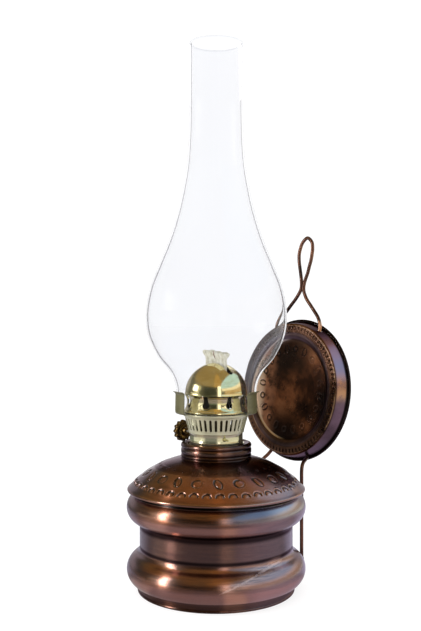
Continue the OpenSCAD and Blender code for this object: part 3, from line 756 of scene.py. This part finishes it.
def wick_ring(z, sink=1.0):
    flare = soft(np.array(z), 147.6, 153.6) ** 1.3
    half_w, half_t = 9.75 + 0.75 * flare, 1.25 + 1.75 * flare
    x, y = per[:, 0] * (half_w - 0.25) * sink, per[:, 1] * (half_t - 0.12) * sink
    flat = np.abs(per[:, 1]) == 1
    rib = 0.13 * np.cos(per[:, 0] * half_w * 2 * math.pi / 1.3) * np.cos(z * 2 * math.pi / 1.5 + (np.round(per[:, 0] * half_w / 1.3) % 2) * math.pi) * (1 - 0.6 * flare)
    x = x + np.where(~flat, np.sign(per[:, 0]) * (0.1 + 0.5 * rib), 0) + 0.25 * flare * np.sin(y * 2 + phase[0])
    y = y + np.where(flat, np.sign(per[:, 1]) * (0.06 + rib), 0) + 0.18 * flare * (np.sin(x * 2.1 + phase[1]) + np.sin(x * 4.3 + phase[2]))
    top = z + flare * (0.25 * np.sin(per[:, 0] * 9 + phase[3]) + 0.2 * np.sin(per[:, 0] * 23 + phase[4]) - 0.9 * per[:, 0] - 0.3)
    return np.stack([x, y, top], 1)


rings = [wick_ring(z) for z in wz]
lid = [wick_ring(wz[-1], s) + [0, 0, -0.25 * (1 - s) * 3] for s in (0.8, 0.55, 0.3, 0.08)]
n = len(per)
allr = rings + lid
parts = [(np.concatenate(allr), [tuple(range(n - 1, -1, -1))] + [(j * n + i, j * n + (i + 1) % n, (j + 1) * n + (i + 1) % n, (j + 1) * n + i) for j in range(len(allr) - 1) for i in range(n)] + [tuple((len(allr) - 1) * n + i for i in range(n))])]
for i in range(150):                                       # frayed ends
    u, q = rng.uniform(-1, 1), rng.uniform(-1, 1)
    if rng.uniform() < 0.6:
        q = math.copysign(rng.uniform(0.75, 1.0), q)
    x0, y0, zs = u * 9.5, q * 1.15, rng.uniform(148.5, 150.5)
    top = rng.uniform(152.4, 154.2) - 0.9 * u * 0.7
    x1, y1 = u * 10.3 + rng.normal(0, 0.25), q * 2.85 + rng.normal(0, 0.25)
    x1, y1 = max(-10.5, min(10.5, x1)), max(-3.3, min(3.3, y1))
    p = [(x0, y0, zs), (x0 + (x1 - x0) * 0.25, y0 + (y1 - y0) * 0.3, zs + (top - zs) * 0.4), (x0 + (x1 - x0) * 0.6, y0 + (y1 - y0) * 0.65, zs + (top - zs) * 0.75), (x1, y1, top)]
    parts.append(tube(p, [0.2, 0.2, 0.16, 0.1], 5))
v, f = joined(parts)
wick = piece(solid("wick_woven", v, f, 60), "wick", "wick", "flat_wick")
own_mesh(wick)

# ---- floor -----------------------------------------------------------------------------------
floor = plain_mesh("floor", [(-6, -6, 0), (6, -6, 0), (6, 6, 0), (-6, 6, 0)], [(0, 1, 2, 3)])


# ---- materials ----------------------------------------------------------------
def new_material(name):
    m = bpy.data.materials.new(name)
    m.use_nodes = True
    return m, Tree(m.node_tree)


def floor_material():
    """White paper to the eye. What shines sees the same floor as under the lights of a real room, uneven from side to side."""
    m, t = new_material("pale_floor")
    tc = t.n("ShaderNodeTexCoord").outputs["Object"]
    x, y, z = t.n("ShaderNodeSeparateXYZ", i0=tc).outputs
    r = t.n("ShaderNodeVectorMath", _operation="LENGTH", i0=tc).outputs[1]
    a = t.mul(t.math("ARCTAN2", t.add(t.mul(x, cp), t.mul(y, sp)), t.add(t.mul(x, sp), t.mul(y, -cp))), 180 / math.pi)
    wide = t.math("ABSOLUTE", a)
    near = t.mix(t.band(a, -75.0, 13.0, 10.0), (0.28, 0.25, 0.26), (0.50, 0.46, 0.44))
    near = t.mix(t.step(wide, 98.0, 118.0), near, (0.44, 0.44, 0.52))
    near = t.mix(t.band(a, 62.0, 26.0, 26.0), near, (0.47, 0.41, 0.47))
    near = t.mix(t.mul(t.step(a, 98.0, 118.0), t.step(a, 179.0, 162.0)), near, (0.62, 0.60, 0.76))
    near = t.mix(t.band(a, 14.0, 5.0, 6.0), near, (0.56, 0.47, 0.41))
    far = t.mix(t.band(a, -80.0, 27.0, 8.0), (0.14, 0.17, 0.14), (1.08, 1.10, 0.98))
    far = t.mix(t.band(a, 90.0, 60.0, 10.0), far, (1.05, 1.05, 0.85))
    far = t.mix(t.band(a, 16.0, 9.0, 5.0), far, (1.0, 0.98, 0.82))
    far = t.mix(t.step(wide, 140.0, 158.0), far, (0.42, 0.40, 0.42))
    far = t.mix(t.step(wide, 162.0, 172.0), far, (0.86, 0.86, 0.89))
    near = t.mix(t.mul(t.band(r, 0.51, 0.07, 0.04), t.step(wide, 84.0, 102.0)), near, (0.06, 0.05, 0.07))
    room_ = t.mix(t.step(r, 0.56, 0.62), near, far)
    lp = t.n("ShaderNodeLightPath")
    shine_ = t.mul(t.math("GREATER_THAN", lp.outputs["Glossy Depth"], 0.5), t.math("LESS_THAN", lp.outputs["Diffuse Depth"], 0.5))
    seen_ = t.mix(t.noise(tc, 3.0), (0.285, 0.285, 0.288), (0.295, 0.295, 0.298))
    b = t.n("ShaderNodeBsdfDiffuse", Color=t.mix(shine_, seen_, (0.0, 0.0, 0.0)))
    e = t.n("ShaderNodeEmission", Color=t.mix(shine_, (0.78, 0.78, 0.78), room_), Strength=1.0)
    t.n("ShaderNodeOutputMaterial", i0=t.n("ShaderNodeAddShader", i0=b.outputs[0], i1=e.outputs[0]).outputs[0])
    return m


floor.data.materials.append(floor_material())


def place(t):
    """Object coordinates, split into x, y and z, with the radius round the lamp's axis."""
    tc = t.n("ShaderNodeTexCoord").outputs["Object"]
    x, y, z = t.n("ShaderNodeSeparateXYZ", i0=tc).outputs
    r = t.math("MAXIMUM", t.math("SQRT", t.add(t.mul(x, x), t.mul(y, y))), 0.0005)
    return tc, x, y, z, r


def turned(t, around_scale, up_scale):
    """Coordinates that run round the lamp's axis, so that a noise becomes turning marks."""
    tc, x, y, z, r = place(t)
    return t.n("ShaderNodeCombineXYZ", X=t.mul(t.math("DIVIDE", x, r), around_scale), Y=t.mul(t.math("DIVIDE", y, r), around_scale),
               Z=t.mul(t.add(z, t.mul(r, 0.6)), up_scale)).outputs[0]


def dished(t, around_scale, up_scale):
    """The same for the reflector, round its own axis."""
    tc = t.n("ShaderNodeTexCoord").outputs["Object"]
    p = t.n("ShaderNodeVectorMath", _operation="SUBTRACT", i0=tc, i1=tuple(refl_c * MM)).outputs[0]
    x = t.n("ShaderNodeSeparateXYZ", i0=p).outputs[0]
    y = t.n("ShaderNodeVectorMath", _operation="DOT_PRODUCT", i0=p, i1=tuple(ey)).outputs[1]
    z = t.n("ShaderNodeVectorMath", _operation="DOT_PRODUCT", i0=p, i1=tuple(ez)).outputs[1]
    r = t.math("MAXIMUM", t.math("SQRT", t.add(t.mul(x, x), t.mul(y, y))), 0.0005)
    return t.n("ShaderNodeCombineXYZ", X=t.mul(t.math("DIVIDE", x, r), around_scale), Y=t.mul(t.math("DIVIDE", y, r), around_scale), Z=t.mul(r, up_scale)).outputs[0], r, z, p


def finish_metal(t, color, rough, height, bump=0.1, coat=0.5, coat_rough=0.2, distance=0.00025, metal=1.0, brushed=0.0, coat_ior=1.5, low=(1, 1, 1)):
    bp = t.n("ShaderNodeBump", Strength=bump, Distance=distance, Height=height)
    b = t.n("ShaderNodeBsdfPrincipled", Base_Color=color, Metallic=metal, Roughness=rough, Normal=bp.outputs[0])
    t.put(b, "Coat Weight", coat)
    b.inputs["Coat Roughness"].default_value = coat_rough
    b.inputs["Coat IOR"].default_value = coat_ior
    b.inputs["Specular Tint"].default_value = (*low, 1)
    if brushed:
        b.inputs["Anisotropic"].default_value = brushed
        b.inputs["Anisotropic Rotation"].default_value = 0.25
        t.put(b, "Tangent", t.n("ShaderNodeTangent", _direction_type="RADIAL", _axis="Z"))
    t.n("ShaderNodeOutputMaterial", i0=b.outputs[0])


def hollows(t):
    return t.step(t.n("ShaderNodeAttribute", _attribute_name="hollow").outputs["Fac"], 0.06, 0.30)


def font_copper():
    # copper patina, with painted reflections, highlights and shade laid into its colour
    m, t = new_material("copper_patina_and_painted_light")
    tc, x, y, z, r = place(t)
    big = t.noise(tc, 26.0, 5.0, 0.6)
    streak = t.noise(turned(t, 2.6, 900.0), 1.0, 4.0, 0.65)
    thin = t.noise(turned(t, 5.0, 2600.0), 1.0, 3.0, 0.6)
    fine_ = t.noise(turned(t, 22.0, 5200.0), 1.0, 2.0)
    zc = t.mul(z, 1000.0)
    beta = t.mul(t.math("ARCTAN2", t.add(t.mul(x, cp), t.mul(y, sp)), t.add(t.mul(x, sp), t.mul(y, -cp))), 180 / math.pi)
    v_ = t.add(t.mul(big, 0.42), t.mul(streak, 0.33), t.mul(thin, 0.25))
    c_ = t.ramp(v_, [(0.34, (0.045, 0.015, 0.008)), (0.45, (0.19, 0.064, 0.030)), (0.56, (0.33, 0.125, 0.064)), (0.70, (0.50, 0.25, 0.16))])
    blue = t.noise(tc, 17.0, 3.0, 0.5)
    c_ = t.mix(t.mul(t.step(blue, 0.52, 0.68), 0.40), c_, (0.13, 0.085, 0.12))
    # painted reflection: a pale violet-grey on two sides of the body, streaky, weaker on the shoulder
    violet_painted_reflection = t.math("MAXIMUM", t.mul(t.band(beta, 60.0, 20.0, 36.0), 0.55), t.mul(t.band(beta, -84.0, 12.0, 26.0), 0.40))
    violet_painted_reflection = t.mul(violet_painted_reflection, t.add(0.65, t.mul(streak, 0.7)), t.step(zc, 82.0, 70.0, 0.35, 1.0))
    c_ = t.mix(t.math("MINIMUM", violet_painted_reflection, 0.8), c_, (0.34, 0.27, 0.335))
    # painted reflection: blue on the upper side of the top bulge, paler further to the right
    blue_painted_reflection = t.mul(t.band(zc, 59.2, 2.8, 3.4), t.band(beta, 46.0, 30.0, 18.0), t.math("LESS_THAN", zc, 63.4))
    c_ = t.mix(t.mul(blue_painted_reflection, 0.85), c_, t.mix(t.step(beta, 28.0, 47.0), (0.100, 0.110, 0.175), (0.38, 0.37, 0.44)))
    # painted reflection of the pale floor: the undersides of both bulges are painted rosier and lighter
    floor_painted_reflection = t.math("MAXIMUM", t.mul(t.band(zc, 48.5, 2.6, 2.2), t.band(beta, -70.0, 75.0, 35.0)), t.band(zc, 9.0, 3.0, 3.0))
    c_ = t.mix(t.mul(floor_painted_reflection, t.math("LESS_THAN", zc, 55.0), 0.6), c_, (0.66, 0.34, 0.30))
    # painted warm light: the front of the shoulder is painted redder
    warm = t.mul(t.step(zc, 65.5, 67.5), t.step(zc, 83.0, 77.0), t.band(beta, 16.0, 26.0, 22.0))
    c_ = t.mix(t.mul(warm, 0.45), c_, (0.56, 0.20, 0.11))
    # painted shade: the waist, sunk between the bulges, is painted darker and greyer
    c_ = t.mix(t.mul(t.band(zc, 35.0, 6.0, 2.5), t.math("LESS_THAN", r, 0.052), 0.55), c_, (0.070, 0.043, 0.050))
    # the creases are dark with old polish, and painted shade darkens them further, also on the foot under the lower
    # bulge
    crease_polish_and_shade = t.math("MAXIMUM", t.band(zc, 28.6, 0.3, 1.6), t.math("MAXIMUM", t.band(zc, 43.4, 1.6, 2.6), t.mul(t.band(zc, 3.2, 2.8, 2.2), 0.7)))
    crease_polish_and_shade = t.mul(crease_polish_and_shade, t.math("LESS_THAN", r, 0.0545))
    c_ = t.mix(t.mul(crease_polish_and_shade, 0.92), c_, (0.014, 0.007, 0.009))
    # painted shade in the gap under the rolled rim
    shade_under_rim = t.mul(t.band(zc, 63.2, 0.9, 0.9), t.math("LESS_THAN", r, 0.0555))
    c_ = t.mix(shade_under_rim, c_, (0.008, 0.005, 0.005))
    # painted shade where the shoulder runs into the neck
    shade_near_neck = t.mul(t.band(zc, 83.0, 2.0, 5.0), t.math("LESS_THAN", r, 0.040))
    c_ = t.mix(t.mul(shade_near_neck, 0.75), c_, (0.030, 0.013, 0.010))
    # painted shade over the whole neck
    shade_on_neck = t.step(zc, 83.0, 85.0)
    c_ = t.mix(t.mul(shade_on_neck, 0.45), c_, (0.014, 0.008, 0.010))
    # painted shade on the left side of the shoulder
    shade_left = t.mul(t.step(zc, 65.0, 67.0), t.band(beta, -104.0, 44.0, 32.0))
    c_ = t.mix(t.mul(shade_left, 0.5), c_, (0.070, 0.042, 0.055))
    # painted shade on the right of the upper shoulder, near the neck
    shade_right = t.mul(t.step(zc, 74.0, 80.0), t.band(beta, 62.0, 30.0, 20.0))
    c_ = t.mix(t.mul(shade_right, 0.7), c_, (0.020, 0.011, 0.009))
    c_ = t.mix(t.mul(hollows(t), 0.92), c_, (0.012, 0.006, 0.005))
    ridge = t.mul(t.step(t.n("ShaderNodeAttribute", _attribute_name="hollow").outputs["Fac"], -0.05, -0.13), t.math("GREATER_THAN", r, 0.0495))
    c_ = t.mix(t.mul(ridge, 0.55), c_, (0.62, 0.40, 0.36))
    # the rolled edge is worn bare
    edge_ = t.mul(t.math("GREATER_THAN", r, 0.0569), t.band(zc, 65.3, 0.9, 0.4))
    c_ = t.mix(t.mul(edge_, 0.4), c_, (0.50, 0.28, 0.21))
    # painted reflection: a long slanting bright streak on the lower bulge, with a lighter glow along it
    zl = t.add(13.2, t.mul(beta, 0.43), t.mul(beta, beta, -0.0036))
    dist = t.math("ABSOLUTE", t.add(zc, t.mul(zl, -1.0), t.mul(t.add(t.noise(tc, 60.0), -0.5), 1.4)))
    along = t.mul(t.band(beta, 28.0, 20.0, 8.0), t.math("LESS_THAN", zc, 30.0))
    painted_streak = t.mul(t.step(dist, 0.7, 0.1), along, t.step(t.noise(tc, 220.0, 4.0, 0.7), 0.34, 0.56))
    painted_streak_glow = t.mul(t.step(dist, 5.0, 0.3), along, t.step(thin, 0.35, 0.6))
    c_ = t.mix(t.mul(painted_streak_glow, 0.7), c_, (0.60, 0.37, 0.33))
    c_ = t.mix(t.mul(painted_streak, 0.75), c_, (0.86, 0.62, 0.60))
    ro = t.add(0.19, t.mul(streak, 0.11), t.mul(painted_streak, 0.2), t.mul(hollows(t), 0.15))
    # old polish is dull, so the creases have little shine; the coat is also cut under the painted shade by the rim,
    # near the neck and on the right
    gone = t.math("MAXIMUM", crease_polish_and_shade, t.math("MAXIMUM", shade_under_rim, t.math("MAXIMUM", t.mul(shade_near_neck, 0.9), t.mul(shade_right, 0.8))))
    finish_metal(t, c_, ro, t.add(t.mul(fine_, 0.6), t.mul(thin, 0.4)), 0.22, t.add(1.0, t.mul(gone, -0.85)), 0.21, brushed=0.9, coat_ior=1.6, low=(0.60, 0.50, 0.54))
    return m


def dish_copper():
    # copper patina, with painted highlights, light and reflections laid into its colour
    m, t = new_material("reflector_patina_and_painted_light")
    vec, r, z, p = dished(t, 1.6, 420.0)
    tc = t.n("ShaderNodeTexCoord").outputs["Object"]
    big = t.noise(tc, 26.0, 4.0, 0.6)
    mid = t.noise(tc, 75.0, 4.0, 0.6)
    streak = t.noise(vec, 1.0, 3.0, 0.6)
    rc = t.mul(r, 1000.0)
    v_ = t.add(t.mul(big, 0.66), t.mul(mid, 0.24), t.mul(streak, 0.10))
    field = t.ramp(v_, [(0.40, (0.012, 0.005, 0.004)), (0.49, (0.055, 0.020, 0.010)), (0.57, (0.23, 0.082, 0.036)), (0.68, (0.40, 0.17, 0.085))])
    dark = t.ramp(v_, [(0.38, (0.030, 0.017, 0.020)), (0.55, (0.105, 0.062, 0.068)), (0.72, (0.21, 0.13, 0.13))])
    zz = t.mul(t.n("ShaderNodeSeparateXYZ", i0=tc).outputs[2], 1000.0)
    xx = t.mul(t.n("ShaderNodeSeparateXYZ", i0=tc).outputs[0], 1000.0)
    field = t.mix(t.mul(t.step(zz, 118.0, 100.0), t.step(xx, 22.0, 2.0), 0.92), field, (0.010, 0.004, 0.003))
    field = t.mix(t.mul(t.step(zz, 126.0, 142.0), t.step(xx, 28.0, 8.0), 0.85), field, (0.014, 0.008, 0.006))
    # painted light: the left part of the face is painted lighter, palest near the left edge
    field = t.mix(t.mul(t.step(xx, -11.0, -24.0), t.step(mid, 0.32, 0.56), 0.75), field, (0.46, 0.20, 0.115))
    field = t.mix(t.mul(t.step(xx, -24.0, -31.0), t.step(mid, 0.28, 0.46), 0.88), field, (0.92, 0.66, 0.52))
    c_ = t.mix(t.band(rc, 37.6, 1.6, 1.2), field, dark)
    # its step is worn bare
    # painted highlight along the step, on the left side
    c_ = t.mix(t.mul(t.band(rc, 35.0, 0.35, 0.45), t.step(xx, 0.0, -14.0), 0.8), c_, (0.84, 0.68, 0.62))
    edge = t.ramp(v_, [(0.38, (0.030, 0.013, 0.010)), (0.52, (0.13, 0.060, 0.038)), (0.68, (0.32, 0.16, 0.10))])
    c_ = t.mix(t.step(rc, 39.6, 40.4), c_, edge)
    c_ = t.mix(t.mul(hollows(t), 0.85), c_, (0.010, 0.005, 0.004))
    # painted highlight: a light line round the edge of the face, broken by noise
    c_ = t.mix(t.mul(t.band(rc, 44.9, 0.35, 0.3), t.step(mid, 0.35, 0.6), 0.7), c_, (0.62, 0.38, 0.26))
    # the skirt: a painted violet reflection on its upper part, darker towards the top and the bottom, orange in one
    # place
    lilac = t.ramp(v_, [(0.36, (0.13, 0.085, 0.105)), (0.52, (0.27, 0.18, 0.225)), (0.70, (0.40, 0.27, 0.31))])
    lilac = t.mix(t.mul(t.step(zz, 126.0, 138.0), t.step(zz, 168.0, 156.0), 0.75), lilac, t.mix(t.step(zz, 142.0, 152.0), (0.31, 0.235, 0.32), (0.43, 0.21, 0.25)))
    lilac = t.mix(t.mul(t.step(zz, 157.0, 166.0), 0.94), lilac, (0.030, 0.013, 0.012))
    lilac = t.mix(t.mul(t.step(zz, 108.0, 94.0), 0.45), lilac, (0.060, 0.040, 0.055))
    lilac = t.mix(t.mul(t.band(zz, 128.0, 3.0, 7.0), t.step(mid, 0.30, 0.5), 0.8), lilac, (0.52, 0.27, 0.15))
    c_ = t.mix(t.step(rc, 45.6, 46.2), c_, lilac)
    rim_ = t.ramp(v_, [(0.36, (0.008, 0.005, 0.006)), (0.72, (0.040, 0.022, 0.021))])
    c_ = t.mix(t.step(rc, 47.3, 47.6), c_, rim_)
    # painted reflection: a pale bluish veil on the side next to the glass
    painted_blue_veil = t.mul(t.step(rc, 31.0, 40.0), t.step(xx, 2.0, -22.0), t.step(zz, 112.0, 135.0), t.math("LESS_THAN", rc, 47.4))
    c_ = t.mix(t.mul(painted_blue_veil, 0.5), c_, (0.36, 0.36, 0.47))
    ro = t.add(0.20, t.mul(mid, 0.18))
    finish_metal(t, c_, ro, t.add(t.mul(mid, 0.7), t.mul(streak, 0.3)), 0.08, 0.2, 0.15, low=(0.42, 0.34, 0.36))
    return m


def wire_copper():
    m, t = new_material("copper_wire_patina")
    tc, x, y, z, r = place(t)
    big = t.noise(tc, 60.0, 4.0, 0.6)
    small = t.noise(tc, 600.0, 3.0, 0.6)
    c_ = t.ramp(big, [(0.35, (0.035, 0.016, 0.012)), (0.5, (0.12, 0.055, 0.038)), (0.68, (0.26, 0.12, 0.075))])
    # bare copper where the wire goes into the reflector
    zc = t.mul(z, 1000.0)
    bare = t.mul(t.band(zc, 168.5, 3.0, 2.5), t.math("GREATER_THAN", x, 0.0))
    c_ = t.mix(t.mul(bare, 0.85), c_, (0.62, 0.33, 0.20))
    finish_metal(t, c_, t.add(0.24, t.mul(small, 0.16)), small, 0.15, 0.4, 0.2, 0.0002)
    return m


def brass(name, tone, deep, rough=0.12, streaks=0.5, coat=0.0, metal=1.0, inner=None):
    m, t = new_material(name)
    tc, x, y, z, r = place(t)
    big = t.noise(tc, 60.0, 5.0, 0.6)
    ring = t.noise(turned(t, 3.0, 1500.0), 1.0, 3.0, 0.6)
    fine_ = t.noise(turned(t, 14.0, 3600.0), 1.0, 2.0)
    v_ = t.add(t.mul(big, 1 - streaks), t.mul(ring, streaks))
    c_ = t.ramp(v_, [(0.32, deep), (0.5, tone), (0.7, tuple(min(1, a * 1.12) for a in tone))])
    if inner:                                               # another tone on the faces that look inwards: soot on the coronet, painted light on the prongs
        nx, ny, _ = t.n("ShaderNodeSeparateXYZ", i0=t.n("ShaderNodeTexCoord").outputs["Normal"]).outputs
        inward = t.step(t.add(t.mul(nx, t.math("DIVIDE", x, r)), t.mul(ny, t.math("DIVIDE", y, r))), -0.1, -0.5)
        c_ = t.mix(inward, c_, inner)
    finish_metal(t, c_, t.add(rough - 0.04, t.mul(big, 0.12)), fine_, 0.05, coat, 0.1, 0.0002, metal)
    return m


def glass(name):
    m, t = new_material(name)
    tc = t.n("ShaderNodeTexCoord").outputs["Object"]
    wave = t.noise(tc, 9.0, 1.0)
    bump = t.n("ShaderNodeBump", Strength=0.05, Distance=0.0010, Height=wave)
    tint = t.mix(wave, (0.920, 0.925, 0.942), (0.930, 0.935, 0.950))
    z = t.n("ShaderNodeSeparateXYZ", i0=tc).outputs[2]
    # the ground top rim is rough, and painted shade makes it a grey line
    ground_rim_and_shade = t.step(t.mul(z, 1000.0), 353.6, 354.3)
    tint = t.mix(t.mul(ground_rim_and_shade, 0.5), tint, (0.66, 0.68, 0.72))
    g = t.n("ShaderNodeBsdfPrincipled", Base_Color=tint, Roughness=t.mul(ground_rim_and_shade, 0.35), Normal=bump.outputs[0])
    g.inputs["IOR"].default_value = 1.02
    g.inputs["Transmission Weight"].default_value = 1.0
    g.inputs["Coat Weight"].default_value = 0.13
    g.inputs["Coat Roughness"].default_value = 0.03
    g.inputs["Sheen Weight"].default_value = 0.12
    g.inputs["Sheen Roughness"].default_value = 0.45
    t.n("ShaderNodeOutputMaterial", i0=g.outputs[0])
    return m


def cotton(name):
    m, t = new_material(name)
    tc, x, y, z, r = place(t)
    n_ = t.noise(tc, 420.0, 4.0)
    xs = t.n("ShaderNodeMapping", Vector=tc, Scale=(900.0, 300.0, 120.0)).outputs[0]
    thread_ = t.noise(xs, 1.0, 2.0)
    v_ = t.add(t.mul(n_, 0.5), t.mul(thread_, 0.5))
    c_ = t.ramp(v_, [(0.32, (0.32, 0.30, 0.20)), (0.46, (0.55, 0.53, 0.42)), (0.6, (0.70, 0.69, 0.61))])
    xc, zc = t.mul(x, 1000.0), t.mul(z, 1000.0)
    thread_line = t.band(t.add(xc, t.mul(t.add(t.noise(tc, 500.0), -0.5), 1.2)), 0.5, 0.25, 0.35)
    stitch = t.mul(thread_line, t.step(zc, 146.5, 147.5), t.step(t.noise(tc, 330.0), 0.40, 0.5), t.math("LESS_THAN", y, 0.0))
    c_ = t.mix(t.mul(stitch, 0.9), c_, (0.14, 0.035, 0.025))
    bump = t.n("ShaderNodeBump", Strength=0.5, Distance=0.0004, Height=v_)
    b = t.n("ShaderNodeBsdfPrincipled", Base_Color=c_, Roughness=0.95, Normal=bump.outputs[0])
    t.n("ShaderNodeOutputMaterial", i0=b.outputs[0])
    return m


def dull(name, lo, hi, metal=0.0, rough=0.6):
    m, t = new_material(name)
    tc = t.n("ShaderNodeTexCoord").outputs["Object"]
    n_ = t.noise(tc, 180.0, 4.0)
    c_ = t.ramp(n_, [(0.35, lo), (0.65, hi)])
    bump = t.n("ShaderNodeBump", Strength=0.2, Distance=0.0003, Height=n_)
    b = t.n("ShaderNodeBsdfPrincipled", Base_Color=c_, Roughness=rough, Metallic=metal, Normal=bump.outputs[0])
    t.n("ShaderNodeOutputMaterial", i0=b.outputs[0])
    return m


BRASS = brass("pressed_brass", (0.88, 0.79, 0.45), (0.74, 0.62, 0.29), 0.10)
MAT = {
    "copper": font_copper(),
    "copper_wire": wire_copper(),
    "brass": BRASS,
    "steel": dull("drawn_steel", (0.35, 0.34, 0.32), (0.55, 0.54, 0.52), 1.0, 0.35),
    "glass": glass("blown_glass"),
    "wick": cotton("woven_cotton"),
    "gasket": dull("fibre_washer", (0.02, 0.014, 0.01), (0.06, 0.045, 0.03)),
    "solder": dull("soft_solder", (0.16, 0.14, 0.13), (0.36, 0.34, 0.33), 1.0, 0.5),
}
CATCH = brass("catch_brass", (0.50, 0.45, 0.20), (0.12, 0.10, 0.03), 0.2, metal=0.9)
SPECIAL = {
    "reflector_stamped": dish_copper(),
    "knob_scalloped": brass("old_brass", (0.12, 0.070, 0.020), (0.018, 0.011, 0.006), 0.22, 0.2, 0.3),
    "basket_slotted": brass("matt_brass", (0.62, 0.60, 0.42), (0.46, 0.43, 0.26), 0.24, metal=0.6),
    "catch_leaf": CATCH,
    "coronet_pierced": brass("sooty_inside_brass", (0.88, 0.80, 0.48), (0.76, 0.64, 0.32), 0.10, inner=(0.012, 0.010, 0.007)),
    "burner_ring_spun": brass("ring_brass", (0.66, 0.62, 0.44), (0.50, 0.44, 0.26), 0.13, metal=0.92),
}
SOOTY = dull("sooty_brass", (0.030, 0.024, 0.014), (0.075, 0.060, 0.035), 1.0, 0.5)
# painted light: the prongs' inward faces are pale and hardly metal, so that they show bright in the coronet
PRONG_PAINTED_LIGHT = brass("spring_brass_painted_light_inside", (0.115, 0.105, 0.050), (0.070, 0.060, 0.028), 0.3, metal=0.15, inner=(0.95, 0.92, 0.74))
NODE_MAT = {n_: SOOTY for n_ in ("wick_tube", "draught_plate", "raiser_sprockets", "shaft_bracket")}
NODE_MAT.update({n_: PRONG_PAINTED_LIGHT for n_ in ("prong_left", "prong_right", "prong_rear")})
SLOT = {s["node"]: s["material_slot"] for s in frame["record"]["subparts"]}
for name, o in nodes.items():
    o.data.materials.clear()
    o.data.materials.append(NODE_MAT.get(name, MAT[SLOT[name]]))
for o, slot_name in made:
    o.data.materials.clear()
    o.data.materials.append(SPECIAL.get(o.name, MAT[slot_name]))

# ---- what each light leaves out ------------------------------------------------------------
def leaves_out(light, *objects):
    group = bpy.data.collections.new(light.name + "_leaves_out")
    for o in objects:
        group.objects.link(o)
    light.light_linking.receiver_collection = group
    for entry in group.collection_objects:
        entry.light_linking.link_state = "EXCLUDE"


leaves_out(key_light, chimney, dome, dish, wick)
leaves_out(glint_light, *[o for o, _ in made if o is not dome and o is not chimney])
